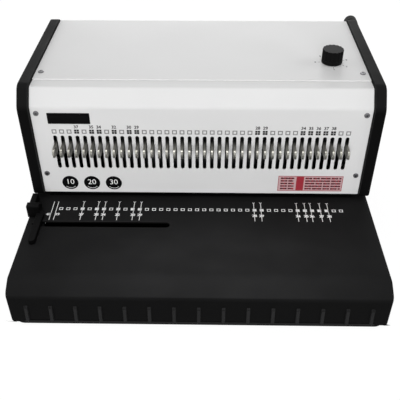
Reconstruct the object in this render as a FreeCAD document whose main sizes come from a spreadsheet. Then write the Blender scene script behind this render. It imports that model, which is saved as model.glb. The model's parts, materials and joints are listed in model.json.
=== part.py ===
import FreeCAD, Part
import math
import os
import re

import Sketcher

# Electric wire-punching and binding machine, in millimetres.
# X runs along the row of punches, Y away from the user, Z up.
# The origin lies on the table, under the middle of the machine's outline.
# In the names below, "face" is the front of the pale panel and "deck" the paper surface.

SIZES = {
    # Whole machine
    "deck_height": (53, "table to paper deck"),
    "housing_width": (401, "over both end cheeks"),
    "housing_depth": (200, "panel face to rear"),
    "housing_top": (140, "top sheet above the deck"),
    "front_reach": (157, "panel face to the foot of the front wall"),
    # Row of punches
    "punch_count": (40, "punches in the row"),
    "punch_pitch": (25.4 / 3, "three holes to the inch"),
    "punch_side": (4, "side of a square punch"),
    "punch_y": (16, "punch line behind the face"),
    "punch_play": (0.05, "punch in its guide, each side"),
    "punch_rest": (3.6, "punch tips above the deck at rest"),
    "head_width": (6.4, "head of a punch"),
    "head_low": (62, "foot of the punch heads"),
    "head_high": (81, "top of the punch heads"),
    "stroke": (12, "travel of the punch beam"),
    # Sheets and cheeks
    "sheet": (1.2, "thickness of the steel sheets"),
    "sheet_gap": (0.2, "between a sheet and what it meets"),
    "panel_foot": (6, "foot of the front panel above the deck"),
    "fold_height": (122, "fold of the front panel above the deck"),
    "bevel_depth": (14, "depth of the bevel"),
    "flange_end": (36, "end of the panel's top flange"),
    "cover_start": (30, "front edge of the top cover"),
    "apron_foot": (116, "foot of the top cover's rear apron"),
    "fold_round": (7, "outer radius of the panel's fold"),
    "bevel_round": (4, "outer radius at the bevel's top"),
    "slot_low": (41.3, "foot of the slots above the deck"),
    "slot_high": (85.8, "head of the slots above the deck"),
    "slot_width": (4.3, "width of a slot"),
    "cheek": (12, "thickness of an end cheek"),
    "cheek_proud": (7, "cheek's front edge before the face"),
    "cheek_rise": (5, "cheek above the top sheet"),
    "cheek_corner": (13, "radius of the cheek's corners"),
    "cheek_edge": (2, "radius round the cheek's outer face"),
    "cheek_step": (34, "length of the raised front part"),
    "seat_gap": (0.3, "between a piece and what it rests above"),
    # Lower body
    "base_drop": (48.5, "height of the base cover"),
    "base_wall": (3, "wall of the base cover"),
    "nose_run": (23, "start of the rounded nose behind the front"),
    "nose_drop": (11, "height of the nose"),
    "nose_lean": (2.5, "lean of the front wall"),
    "nose_round": (26, "radius at the top of the nose"),
    "brow_round": (12, "radius at the foot of the nose"),
    "front_corner": (5, "upright front corners"),
    "rear_corner": (6, "upright rear corners"),
    "side_round": (3, "long top edges"),
    "rib_count": (15, "ribs on the front wall"),
    "rib_pitch": (25.9, "rib spacing"),
    "rib_width": (3.6, "width of a rib"),
    "rib_top": (25, "head of the ribs under the deck"),
    "rib_step": (1.8, "how far a rib stands out at its head"),
    "rib_proud": (2.5, "how far a rib stands out at its foot"),
    "front_gap": (3, "front wall's foot above the bottom plate"),
    "plate_inset": (3, "edge of the bottom plate inside the housing's sides"),
    "gap_inset": (15, "ends of its straight front edge inside the housing's sides"),
    "plate_thick": (2, "thickness of the bottom plate"),
    "plate_lip": (2.5, "lip at the front of the bottom plate"),
    "plate_fold": (1.5, "thickness of that lip"),
    "boss_inset": (28.5, "screw bosses inside the housing's sides"),
    "boss_front": (125, "front bosses before the face"),
    "boss_back": (9, "rear bosses before the housing's rear"),
    "boss_radius": (4.5, "radius of a boss"),
    "foot_radius": (9, "rubber foot"),
    "foot_inset": (50.5, "feet inside the housing's sides"),
    "foot_front": (132, "front feet before the face"),
    "foot_back": (20, "rear feet before the housing's rear"),
    "stem_radius": (3, "stem of a foot"),
    # Frames, die and guide
    "frame_space": (4.5, "between a side frame and its cheek"),
    "frame": (5, "thickness of a side frame"),
    "frame_front": (2.2, "front of frames and plates behind the face"),
    "frame_back": (13, "rear of the frames before the housing's rear"),
    "frame_top": (136, "top of the frames above the deck"),
    "plates_rear": (36, "rear of die and guide plates"),
    "die_thick": (8, "die plate"),
    "throat": (3, "gap for the paper"),
    "throat_depth": (26, "open depth of the throat"),
    "guide_thick": (10, "punch guide plate"),
    "spacer_width": (9, "throat spacer"),
    # Punch beam
    "beam_front": (8, "front of the beam"),
    "beam_rear": (34, "rear of the beam"),
    "beam_low": (58, "underside of the beam"),
    "beam_high": (88, "top of the beam"),
    "beam_play": (0.5, "beam to frame, each side"),
    "tongue_front": (15, "front of the beam's tongues"),
    "tongue_rear": (27, "rear of the beam's tongues"),
    "slide_play": (0.05, "play of a flat sliding fit, each side"),
    # Release pins
    "pin_low": (66, "underside of a release pin"),
    "pin_height": (11, "height of a release pin"),
    "pin_thick": (2.6, "thickness of a release pin"),
    "pin_front": (18, "nose of a release pin before the face"),
    "pin_rear": (21.6, "inner end of a release pin"),
    "pin_round": (4, "rounded nose of a release pin"),
    "pin_pull": (8, "travel of a release pin"),
    "pin_play": (0.1, "release pin in its channel, each side"),
    "pins_per_group": (8, "release pins in one node"),
    "rod_y": (10.8, "retaining rod behind the face"),
    "rod_z": (73, "retaining rod above the deck"),
    "rod_radius": (1.2, "retaining rod"),
    # Camshaft and rollers
    "cam_y": (22, "camshaft behind the face"),
    "shaft_radius": (7, "camshaft"),
    "bush_wall": (4, "wall of a shaft bush"),
    "shaft_play": (0.05, "radial play of a shaft"),
    "cam_x": (120, "cams from the middle"),
    "cam_width": (8, "width of a cam"),
    "cam_low": (10, "smallest radius of a press cam"),
    "cam_gap": (0.3, "between a cam and its follower"),
    "roller_radius": (6, "cam roller"),
    "roller_rise": (8, "roller centre above the beam"),
    "roller_side": (0.2, "roller to ear, each side"),
    "ear_thick": (4, "ear of a roller fork"),
    "ear_reach": (5, "ear beyond the roller pin"),
    "roller_pin": (2.5, "radius of a roller pin"),
    # Drive
    "gear_module": (1.5, "tooth module"),
    "gear_teeth": (24, "teeth of the drive gear"),
    "pinion_teeth": (14, "teeth of the output pinion"),
    "gear_width": (10, "face width of the gears"),
    "gear_x": (153, "gears left of the middle"),
    "mesh_gap": (0.1, "added to the centre distance"),
    "pinion_shaft": (4, "radius of the pinion's shaft"),
    "case_right": (96, "inner end of the gearbox, left of the middle"),
    "case_side": (2, "gear to gearbox"),
    "case_front": (45, "front of the gearbox"),
    "case_depth": (52, "depth of the gearbox"),
    "shelf_thick": (3, "motor shelf"),
    "shelf_front": (46, "front of the motor shelf"),
    "shelf_ledge": (7, "motor shelf behind the motor can"),
    "case_top": (135, "top of the gearbox"),
    "case_round": (6.5, "upper edges of the gearbox"),
    "stub_gap": (8, "end of the pinion's shaft inside the gearbox's inner end"),
    "motor_radius": (29, "motor can"),
    "motor_length": (84, "motor can"),
    "motor_boss": (5, "bearing boss on the end of the motor"),
    "motor_boss_radius": (29 / 3, "bearing boss"),
    "motor_front": (47, "front of the motor can behind the face"),
    "motor_head": (5, "motor can under the top of the frames"),
    "motor_lift": (4, "motor can above its shelf"),
    # Springs
    "spring_wire": (1.6, "wire of a return spring"),
    "spring_radius": (3.6, "mean radius of a return spring"),
    "spring_inset": (6, "return springs inside the side frames"),
    "spring_y": (28, "return springs behind the face"),
    "spring_turns": (7, "turns of a return spring"),
    # Paper stop and margin knob
    "stop_front": (22.5, "paper stop behind the face"),
    "stop_rear": (74.5, "rear of the stop's lug"),
    "stop_inset": (11, "ends of the stop inside the side frames"),
    "stop_play": (0.3, "stop between die and guide plate"),
    "lug_width": (9, "lug of the paper stop"),
    "lug_thick": (3, "lug of the paper stop"),
    "lug_top": (20, "top of the lug"),
    "margin_y": (70, "margin shaft behind the face"),
    "margin_z": (16, "margin shaft above the deck"),
    "margin_radius": (5, "margin shaft"),
    "crank_radius": (7, "crank disc of the margin shaft"),
    "crank_throw": (4, "crank pin from the shaft's axis"),
    "crank_pin": (1.5, "radius of the crank pin"),
    "knob_radius": (13, "margin knob"),
    "knob_length": (20, "margin knob"),
    "knob_gap": (1, "knob to cheek"),
    "knob_skirt": (4, "plain skirt at the foot of a knob"),
    "knob_flutes": (12, "flutes round the margin knob"),
    "knob_flute": (2, "radius of its flutes"),
    "knob_flute_out": (1.2, "centre of its flutes outside the knob"),
    # Wire closer
    "anvil_back": (40, "front of the anvil before the housing's rear"),
    "anvil_top": (10, "anvil surface above the deck"),
    "anvil_wall": (4, "upstand of the anvil"),
    "anvil_rise": (20, "height of the upstand"),
    "bar_back": (30, "front of the closer bar before the housing's rear"),
    "bar_thick": (12, "closer bar"),
    "bar_low": (32, "underside of the closer bar"),
    "bar_high": (74, "top of the closer bar"),
    "bar_inset": (8, "ends of the closer bar inside the side frames"),
    "bar_ear_low": (62, "underside of the bar's ears"),
    "guide_wall": (4, "walls of a closer guide"),
    "guide_low": (34, "foot of a closer guide"),
    "guide_floor": (6, "floor of a closer guide"),
    "guide_high": (80, "head of a closer guide"),
    "pad_radius": (5, "follower pads on the closer bar"),
    "closer_lift": (12, "full rise of a closer cam"),
    "closer_rise": (70, "angle of the full rise"),
    "closer_cam_x": (130, "closer cams from the middle"),
    "closer_cam_low": (10, "smallest radius of a closer cam"),
    "closer_radius": (6.5, "closer shaft"),
    "closer_bush": (3.5, "wall of a closer bush"),
    "lever_length": (105, "closing lever, pivot to tip"),
    "lever_tilt": (8, "lever above level at rest"),
    "lever_width": (16, "lever arm"),
    "lever_thick": (5, "lever arm"),
    "lever_side": (9, "cheek to lever arm"),
    "hub_radius": (13, "lever hub"),
    "hub_length": (14, "lever hub"),
    "grip_radius": (9.5, "lever grip"),
    "grip_length": (62, "lever grip"),
    "coil_wire": (1.2, "wire of a closer spring"),
    "coil_radius": (2.6, "mean radius of a closer spring"),
    "coil_turns": (6, "turns of a closer spring"),
    "coil_inset": (4.1, "closer springs inside the side frames"),
    # Size dial and its stop
    "dial_x": (151, "dial right of the middle"),
    "dial_y": (75.3, "dial behind the face"),
    "dial_radius": (12, "dial knob"),
    "dial_height": (16, "dial knob"),
    "dial_flutes": (16, "flutes round the dial"),
    "dial_flute": (1.4, "radius of its flutes"),
    "dial_flute_out": (0.6, "centre of its flutes outside the dial"),
    "spindle_radius": (4, "dial spindle"),
    "snail_low": (94.5, "foot of the snail cam above the deck"),
    "snail_thick": (5, "snail cam"),
    "snail_large": (15, "snail cam at rest"),
    "snail_small": (7, "snail cam after the dial's whole turn"),
    "dial_turn": (270, "turn of the dial"),
    "snail_gap": (0.4, "snail cam to stop slide"),
    "nose_radius": (3, "nose of the stop slide"),
    "slide_width": (8, "stop slide"),
    "slide_reach": (25, "rear end of the stop slide before the closer shaft"),
    "bracket_front": (112, "slide bracket"),
    "bracket_rear": (130, "slide bracket"),
    "bracket_wall": (5, "slide bracket"),
    "arm_length": (30, "stop arm of the closer shaft"),
    "arm_width": (7, "stop arm of the closer shaft"),
    # Edge guide
    "fence_width": (14.5, "block of the edge guide"),
    "fence_front": (42, "front of the block before the face"),
    "fence_low": (10.8, "rear height of the block"),
    "fence_high": (16.2, "front height of the block"),
    "fence_step": (28, "rear of the block before the face"),
    "fence_crest": (34, "end of the block's rise"),
    "tail_width": (6.5, "thin tail behind the block"),
    "tail_rear": (9, "rear of the tail before the face"),
    "arm_reach": (89, "front of the guide's arm"),
    "arm_inset": (10.5, "arm's left side inside the housing's side"),
    "guide_arm": (8, "width of the guide's arm"),
    "arm_high": (6, "height of the guide's arm"),
    "track_y": (52.85, "guide slot before the face"),
    "track_width": (9.3, "guide slot"),
    "track_inset": (7, "left end of the guide slot inside the housing's side"),
    "track_right": (35, "right end of the guide slot"),
    "stem_length": (10, "stem of the guide in its slot"),
    "stem_gap": (0.2, "stem in its slot, each side"),
    "clamp_thick": (5, "clamp under the deck"),
    "clamp_half_x": (6.5, "half length of the clamp"),
    "clamp_half_y": (9, "half width of the clamp"),
    # Chip drawer
    "drawer_inset": (3, "left end of the drawer inside the side frame"),
    "drawer_front": (9, "front of the drawer behind the face"),
    "drawer_rear": (45, "rear of the drawer behind the face"),
    "drawer_top": (12, "top of the drawer under the deck"),
    "drawer_wall": (1.5, "drawer wall"),
    "drawer_gap": (0.6, "drawer in its window"),
    "pull_radius": (11, "finger recess"),
    # Rear fittings
    "inlet_x": (120, "power inlet left of the middle"),
    "inlet_width": (27, "power inlet"),
    "inlet_height": (20, "power inlet"),
    "inlet_depth": (17, "power inlet"),
    "flange": (2, "flanges of the rear fittings"),
    "flange_lip": (2.5, "flange beyond its opening"),
    "fitting_z": (25, "rear fittings under the deck"),
    "switch_x": (78, "power switch left of the middle"),
    "switch_width": (13, "power switch"),
    "switch_height": (20, "power switch"),
    "switch_depth": (14, "power switch"),
    "fitting_wall": (1.5, "walls of the inlet and the switch frame"),
    "fitting_floor": (3, "floors of the inlet and the switch frame"),
    "blade_thick": (2, "contact blades of the inlet"),
    "blade_high": (4, "contact blades"),
    "blade_spread": (7, "outer blades from the inlet's middle"),
    "blade_rise": (0.5, "outer blades above the inlet's middle"),
    "blade_step": (3.5, "middle blade above the outer ones"),
    "blade_sunk": (2, "blades' tips inside the rear wall's face"),
    "pivot_sunk": (4, "rocker's pivot inside the rear wall's face"),
    "pivot_radius": (1, "pivot of the rocker"),
    "rocker_gap": (0.3, "rocker in its frame, each side"),
    "rocker_swing": (1.1, "room over and under the rocker for its tilt"),
    "rocker_back": (2.5, "back of the rocker behind its pivot"),
    "rocker_shoulder": (1.5, "shoulders of the rocker before its pivot"),
    "rocker_crest": (7.5, "ends of the rocker before its pivot"),
    "rocker_valley": (5, "middle of the rocker before its pivot"),
    "rocker_tilt": (9, "rocker's tilt at rest"),
    "socket_x": (45, "pedal socket left of the middle"),
    "socket_radius": (5, "pedal socket"),
    "socket_bore": (3.2, "bore of the pedal socket"),
    "socket_lip": (1.5, "nut beyond the socket's body"),
    "socket_depth": (17, "pedal socket behind the rear wall's face"),
    # Fasteners and bench items
    "screw_radius": (1.6, "screw shank"),
    "head_radius": (3.1, "screw head"),
    "head_height": (1.5, "screw head"),
    "screw_length": (9, "screw under its head"),
    "screw_inset": (2.8, "cover screws beyond the inner face of the side frames"),
    "screw_high": (114.6, "upper panel screws above the deck"),
    "screw_low": (33.5, "lower panel screws above the deck"),
    "screw_top_y": (46.5, "top screws behind the face"),
    "tie_radius": (4, "tie rod"),
    "tie_front": (70, "front tie rod"),
    "tie_back": (52, "rear tie rod before the housing's rear"),
    "tie_z": (32, "tie rods above the deck"),
    "board_depth": (80, "control board"),
    "board_back": (40, "control board before the housing's rear"),
    "board_half": (75, "half width of the control board"),
    "board_rise": (8, "board above the bottom plate"),
    "board_thick": (1.6, "control board"),
    "board_corner": (6, "standoffs inside the board's edges"),
    "standoff_radius": (3, "standoffs under the board"),
    "can_x": (6, "pair of capacitors right of the board's middle"),
    "can_y": (58, "capacitors behind the board's front edge"),
    "can_step": (22, "between the two capacitors"),
    "can_radius": (8, "capacitor"),
    "can_height": (18, "capacitor above the board"),
    "vent_count": (14, "vents in the rear cover"),
    "vent_pitch": (9, "vent spacing"),
    "vent_low": (62, "foot of the vents"),
    "vent_high": (96, "head of the vents"),
    "vent_width": (3.5, "width of a vent"),
    "rear_foot": (40, "foot of the rear cover"),
    "rear_flange": (30, "side flanges of the rear cover before the rear of the frames"),
}

# Sizes that follow from the ones above.
DERIVED = {
    "half": "housing_width / 2",
    "inner": "half - cheek",
    "half_row": "punch_pitch * (punch_count - 1) / 2",
    "half_gap": "inner - frame_space - frame",
    "front_total": "front_reach + rib_proud",
    "gap_half": "half - gap_inset",
    "boss_x": "half - boss_inset",
    "foot_x": "half - foot_inset",
    "spring_x": "half_gap - spring_inset",
    "stop_half": "half_gap - stop_inset",
    "bar_half": "half_gap - bar_inset",
    "coil_x": "half_gap - coil_inset",
    "drawer_left": "half_gap - drawer_inset",
    "screw_x": "half_gap + screw_inset",
    "arm_left": "half - arm_inset",
    "arm_right": "arm_left - guide_arm",
    "track_left": "half - track_inset",
    "boss_rear": "housing_depth - boss_back",
    "foot_rear": "housing_depth - foot_back",
    "frame_rear": "housing_depth - frame_back",
    "tie_rear": "housing_depth - tie_back",
    "board_rear": "housing_depth - board_back",
    "board_front": "board_rear - board_depth",
    "anvil_front": "housing_depth - anvil_back",
    "bar_front": "housing_depth - bar_back",
    "closer_y": "bar_front + bar_thick / 2",
    "slide_end": "closer_y - slide_reach",
    "motor_y": "motor_front + motor_radius",
    "motor_z": "frame_top - motor_head - motor_radius",
    "shelf_top": "motor_z - motor_radius - motor_lift",
    "shelf_rear": "motor_y + motor_radius + shelf_ledge",
    "closer_z": "bar_high + 2 * pad_radius + cam_gap + closer_cam_low",
    "rear_total": "closer_y + lever_length * cos(lever_tilt) + grip_radius * sin(lever_tilt)",
    "face": "(front_total - rear_total) / 2",
    "deck": "deck_height",
    "rear": "face + housing_depth",
    "roller_z": "beam_high + roller_rise",
    "cam_z": "roller_z + roller_radius + cam_gap + cam_low",
    "plate_top": "deck - base_drop",
    "plate_low": "plate_top - plate_thick",
    "guide_top": "throat + guide_thick",
    "gear_centres": "gear_module * (gear_teeth + pinion_teeth) / 2 + mesh_gap",
    "pinion_y": "cam_y + gear_centres",
    "lever_x": "half + lever_side + lever_thick / 2",
    "stem_x": "track_left - stem_gap - stem_length / 2 - 1",
}

doc = FreeCAD.newDocument("BindingMachine")
sheet = doc.addObject("Spreadsheet::Sheet", "Sizes")
for line, (alias, (value, note)) in enumerate(SIZES.items(), 1):
    sheet.set("A%d" % line, alias)
    sheet.set("B%d" % line, str(value))
    sheet.set("C%d" % line, note)
    sheet.setAlias("B%d" % line, alias)
doc.recompute()

NODES = []


def expand(expression):
    """Turn size names into references to the sheet's cells."""

    def swap(found):
        word = found.group(0)
        if word in DERIVED:
            return "(" + expand(DERIVED[word]) + ")"
        return "Sizes." + word if word in SIZES else word

    return re.sub(r"[a-z]+(_[a-z]+)*", swap, str(expression))


def number(expression):
    """The value of an expression, for shapes that are worked out in code."""
    return float(sheet.evalExpression(expand(expression)))


def keep(label, thing):
    """Register a finished piece under the name of its node."""
    thing.Label = label
    NODES.append(thing)
    return thing


def block(name, x, y, z):
    """A box between low and high expressions along each axis."""
    box = doc.addObject("Part::Box", name)
    for size, axis, (low, high) in (("Length", "x", x), ("Width", "y", y), ("Height", "z", z)):
        box.setExpression(size, expand("(%s) - (%s)" % (high, low)))
        box.setExpression("Placement.Base." + axis, expand(low))
    return box


def rod(name, axis, centre, radius, span):
    """A cylinder along X, Y or Z; centre holds its two other coordinates in axis order."""
    cylinder = doc.addObject("Part::Cylinder", name)
    turns = {"X": ((0, 1, 0), 90), "Y": ((1, 0, 0), -90), "Z": ((0, 0, 1), 0)}
    direction, angle = turns[axis]
    turn = FreeCAD.Rotation(FreeCAD.Vector(*direction), angle)
    cylinder.Placement = FreeCAD.Placement(FreeCAD.Vector(), turn)
    cylinder.setExpression("Radius", expand(radius))
    cylinder.setExpression("Height", expand("(%s) - (%s)" % (span[1], span[0])))
    places = list(centre)
    places.insert("XYZ".index(axis), span[0])
    for letter, place in zip("xyz", places):
        cylinder.setExpression("Placement.Base." + letter, expand(place))
    return cylinder


def cut(name, base, tools):
    """The base with every tool taken away."""
    tool = tools[0]
    if len(tools) > 1:
        tool = doc.addObject("Part::MultiFuse", name + "_tools")
        tool.Shapes = tools
    result = doc.addObject("Part::Cut", name)
    result.Base = base
    result.Tool = tool
    return result


def fuse(name, pieces):
    """Several shapes joined into one solid."""
    result = doc.addObject("Part::MultiFuse", name)
    result.Shapes = pieces
    result.Refine = True
    return result


def overlap(name, pieces):
    """The volume that several shapes share."""
    result = doc.addObject("Part::MultiCommon", name)
    result.Shapes = pieces
    return result


def group(name, pieces):
    """Separate solids kept together in one node."""
    result = doc.addObject("Part::Compound", name)
    result.Links = pieces
    return result


def made(name, shape):
    """A shape worked out in code."""
    feature = doc.addObject("Part::Feature", name)
    feature.Shape = shape
    return feature


def plane_of(body, plane):
    return next(f for f in body.Origin.OriginFeatures if f.Role == plane + "_Plane")


def new_sketch(body, name, plane, place):
    """A sketch on one of the body's own planes, moved along the plane's normal."""
    sketch = body.newObject("Sketcher::SketchObject", name)
    sketch.AttachmentSupport = [(plane_of(body, plane), "")]
    sketch.MapMode = "FlatFace"
    sketch.setExpression("AttachmentOffset.Base.z", expand(place))
    return sketch


def pin_point(sketch, geometry, point, place):
    """Tie a sketch point to the sketch's origin by two expressions."""
    for kind, expression in zip(("DistanceX", "DistanceY"), place):
        rule = Sketcher.Constraint(kind, -1, 1, geometry, point, number(expression))
        index = sketch.addConstraint(rule)
        label = "c%d_%d_%s" % (geometry, point, kind[-1])
        sketch.renameConstraint(index, label)
        sketch.setExpression("Constraints." + label, expand(expression))


def polygon(sketch, outline):
    """A closed outline of straight lines."""
    corners = [FreeCAD.Vector(number(a), number(b), 0) for a, b in outline]
    total = len(corners)
    for index in range(total):
        sketch.addGeometry(Part.LineSegment(corners[index], corners[(index + 1) % total]))
    for index in range(total):
        sketch.addConstraint(Sketcher.Constraint("Coincident", index, 2, (index + 1) % total, 1))
    for index, place in enumerate(outline):
        pin_point(sketch, index, 1, place)


def oblong(sketch, first, second, radius):
    """A slot outline with round ends about two centres, upright or level."""
    a = FreeCAD.Vector(number(first[0]), number(first[1]), 0)
    b = FreeCAD.Vector(number(second[0]), number(second[1]), 0)
    size = number(radius)
    along = math.atan2(b.y - a.y, b.x - a.x)
    side = FreeCAD.Vector(-math.sin(along), math.cos(along), 0) * size
    up = FreeCAD.Vector(0, 0, 1)
    half_pi = math.pi / 2
    sketch.addGeometry(Part.LineSegment(a + side, b + side))
    sketch.addGeometry(Part.ArcOfCircle(Part.Circle(b, up, size), along - half_pi, along + half_pi))
    sketch.addGeometry(Part.LineSegment(b - side, a - side))
    sketch.addGeometry(Part.ArcOfCircle(Part.Circle(a, up, size), along + half_pi, along + 3 * half_pi))
    for one, end_one, two, end_two in ((0, 2, 1, 2), (1, 1, 2, 1), (2, 2, 3, 2), (3, 1, 0, 1)):
        sketch.addConstraint(Sketcher.Constraint("Tangent", one, end_one, two, end_two))
    sketch.addConstraint(Sketcher.Constraint("Equal", 1, 3))
    pin_point(sketch, 1, 3, second)
    pin_point(sketch, 3, 3, first)
    index = sketch.addConstraint(Sketcher.Constraint("Radius", 1, size))
    sketch.renameConstraint(index, "radius")
    sketch.setExpression("Constraints.radius", expand(radius))


def start_of(plane, span):
    """Where a sketch stands along its plane's normal, which is -Y for the XZ plane."""
    return "-(%s)" % span[1] if plane == "XZ" else span[0]


def pad(body, sketch, span):
    feature = body.newObject("PartDesign::Pad", sketch.Name + "_pad")
    feature.Profile = sketch
    feature.setExpression("Length", expand("(%s) - (%s)" % (span[1], span[0])))
    return feature


def round_edges(body, name, edges, radius):
    """Fillet the chosen edges of the body's present shape."""
    base = body.Tip
    feature = body.newObject("PartDesign::Fillet", name)
    feature.Base = (base, edges)
    feature.setExpression("Radius", expand(radius))
    doc.recompute()
    return feature


def long_edges(shape, plane, corner):
    """Edges that run along the plane's normal through a corner of the outline."""
    axis = {"XY": 2, "XZ": 1, "YZ": 0}[plane]
    others = [i for i in range(3) if i != axis]
    found = []
    for index, edge in enumerate(shape.Edges, 1):
        ends = [vertex.Point for vertex in edge.Vertexes]
        if len(ends) == 2 and all(
            abs(end[others[0]] - corner[0]) < 1e-4 and abs(end[others[1]] - corner[1]) < 1e-4
            for end in ends
        ):
            found.append("Edge%d" % index)
    return found


def prism(name, plane, outline, span, rounds=()):
    """A body padded from an outline; rounds holds (corner indices, radius) pairs."""
    body = doc.addObject("PartDesign::Body", name)
    sketch = new_sketch(body, name + "_outline", plane, start_of(plane, span))
    polygon(sketch, outline)
    pad(body, sketch, span)
    doc.recompute()
    for turn, (corners, radius) in enumerate(rounds):
        edges = []
        for corner in corners:
            place = [number(value) for value in outline[corner]]
            edges += long_edges(body.Tip.Shape, plane, place)
        round_edges(body, "%s_round_%d" % (name, turn), edges, radius)
    return body


def rounded_slot(name, plane, first, second, radius, span):
    """A body with an oblong outline."""
    body = doc.addObject("PartDesign::Body", name)
    sketch = new_sketch(body, name + "_outline", plane, start_of(plane, span))
    oblong(sketch, first, second, radius)
    pad(body, sketch, span)
    return body


def cut_row(body, name, sketch, depth, count, pitch):
    """Pocket a sketch into the body and repeat it along X."""
    before = body.Shape.Volume
    pocket = body.newObject("PartDesign::Pocket", name + "_pocket")
    pocket.Profile = sketch
    pocket.setExpression("Length", expand(depth))
    doc.recompute()
    if body.Shape.Volume >= before:
        raise RuntimeError(name + " cuts nothing")
    pattern = body.newObject("PartDesign::LinearPattern", name + "_row")
    pattern.Originals = [pocket]
    x_axis = next(f for f in body.Origin.OriginFeatures if f.Role == "X_Axis")
    pattern.Direction = (x_axis, [""])
    pattern.setExpression("Length", expand("(%s) * ((%s) - 1)" % (pitch, count)))
    pattern.setExpression("Occurrences", expand(count))
    body.Tip = pattern
    doc.recompute()
    return pattern


def mirrored_x(name, piece):
    """The piece's mirror image across the middle plane."""
    mirror = doc.addObject("Part::Mirroring", name)
    mirror.Source = piece
    mirror.Normal = FreeCAD.Vector(1, 0, 0)
    return mirror


def both_sides(name, piece):
    """A piece and its mirror image, as two solids in one node."""
    return group(name, [piece, mirrored_x(name + "_mirror", piece)])


def yz(y, z):
    """Coordinates behind the face and above the deck, as row coordinates."""
    return ("face + (%s)" % y, "deck + (%s)" % z)


def behind(low, high):
    return ("face + (%s)" % low, "face + (%s)" % high)


def above(low, high):
    return ("deck + (%s)" % low, "deck + (%s)" % high)


def wide(half_width):
    return ("-(%s)" % half_width, half_width)


# ---------------------------------------------------------------- lower body


def base_shell(name, inset, foot, round_cut):
    """The base's outer form, or its hollow when inset is the wall."""
    side = prism(
        name + "_side",
        "YZ",
        [
            yz("housing_depth - (%s)" % inset, foot),
            yz("housing_depth - (%s)" % inset, "-(%s)" % inset),
            yz("nose_run - front_reach + (%s) / 2" % inset, "-(%s)" % inset),
            yz("nose_lean - front_reach + (%s)" % inset, "-nose_drop - (%s) / 2" % inset),
            yz("-front_reach + (%s)" % inset, foot),
        ],
        wide("half"),
        [((2,), "nose_round - %s" % round_cut), ((3,), "brow_round - %s" % round_cut)],
    )
    plan = prism(
        name + "_plan",
        "XY",
        [
            ("-half + (%s)" % inset, "face - front_reach + (%s)" % inset),
            ("half - (%s)" % inset, "face - front_reach + (%s)" % inset),
            ("half - (%s)" % inset, "rear - (%s)" % inset),
            ("-half + (%s)" % inset, "rear - (%s)" % inset),
        ],
        ("deck + (%s)" % foot, "deck"),
        [((0, 1), "front_corner - %s" % round_cut), ((2, 3), "rear_corner - %s" % round_cut)],
    )
    pieces = [side, plan]
    if number(round_cut) == 0:
        front = prism(
            name + "_front",
            "XZ",
            [
                ("-half", "deck + (%s)" % foot),
                ("half", "deck + (%s)" % foot),
                ("half", "deck"),
                ("-half", "deck"),
            ],
            ("face - front_reach", "rear"),
            [((2, 3), "side_round")],
        )
        pieces.append(front)
    return overlap(name, pieces)


def base_cover():
    outer = base_shell("base_outer", "0", "-base_drop", "0")
    hollow = base_shell("base_hollow", "base_wall", "-base_drop - 1", "base_wall")
    shell = cut("base_shell", outer, [hollow])

    def wall_y(height):
        """The front wall's outer face at a height under the deck."""
        rise = "(base_drop - (%s)) / (base_drop - nose_drop)" % height
        return "-front_reach + nose_lean * " + rise

    rib = [
        yz(wall_y("rib_top"), "-rib_top"),
        yz(wall_y("rib_top") + " - rib_step", "-rib_top - rib_step"),
        yz(wall_y("base_drop - front_gap") + " - rib_proud", "-base_drop + front_gap"),
        yz(wall_y("base_drop - front_gap") + " + base_wall / 2", "-base_drop + front_gap"),
        yz(wall_y("rib_top") + " + base_wall / 2", "-rib_top"),
    ]
    ribs = []
    for index in range(int(number("rib_count"))):
        middle = "rib_pitch * (%d - (rib_count - 1) / 2)" % index
        span = (middle + " - rib_width / 2", middle + " + rib_width / 2")
        ribs.append(prism("rib_%02d" % index, "YZ", rib, span))
    bosses = []
    for side in ("-", ""):
        for place in ("-boss_front", "boss_rear"):
            spot = (side + "boss_x", "face + " + place)
            span = ("plate_top", "deck - base_wall / 2")
            bosses.append(rod("boss_%d" % len(bosses), "Z", spot, "boss_radius", span))
    solid = fuse("base_solid", [shell] + ribs + bosses)
    well = block(
        "housing_well",
        wide("half_gap + frame + beam_play"),
        behind("frame_front - beam_play - sheet_gap", "frame_rear + 1"),
        above("-base_wall - 1", "1"),
    )
    track = rounded_slot(
        "guide_track",
        "XY",
        ("-track_left + track_width / 2", "face - track_y"),
        ("-track_right - track_width / 2", "face - track_y"),
        "track_width / 2",
        above("-base_wall - 1", "1"),
    )
    front_gap = block(
        "front_gap_cut",
        wide("gap_half + sheet_gap"),
        ("face - front_total - 1", "face - front_reach + nose_lean + base_wall + 3"),
        ("plate_top - 1", "plate_top + front_gap"),
    )
    window = block(
        "drawer_mouth",
        ("half - base_wall - 1", "half + 1"),
        behind("drawer_front - drawer_gap", "drawer_rear + drawer_gap"),
        ("plate_top - 1", "deck - drawer_top + drawer_gap"),
    )
    inlet = block(
        "inlet_mouth",
        ("-inlet_x - inlet_width / 2", "-inlet_x + inlet_width / 2"),
        ("rear - base_wall - 1", "rear + 1"),
        above("-fitting_z - inlet_height / 2", "-fitting_z + inlet_height / 2"),
    )
    switch = block(
        "switch_mouth",
        ("-switch_x - switch_width / 2", "-switch_x + switch_width / 2"),
        ("rear - base_wall - 1", "rear + 1"),
        above("-fitting_z - switch_height / 2", "-fitting_z + switch_height / 2"),
    )
    socket = rod(
        "socket_mouth",
        "Y",
        ("-socket_x", "deck - fitting_z"),
        "socket_radius",
        ("rear - base_wall - 1", "rear + 1"),
    )
    pilots = []
    for side in ("-", ""):
        for place in ("-boss_front", "boss_rear"):
            spot = (side + "boss_x", "face + " + place)
            span = ("plate_top - 1", "plate_top + screw_length")
            pilots.append(rod("pilot_%d" % len(pilots), "Z", spot, "screw_radius", span))
    tools = [well, track, front_gap, window, inlet, switch, socket] + pilots
    keep("base_cover", cut("base_cut", solid, tools))


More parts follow.
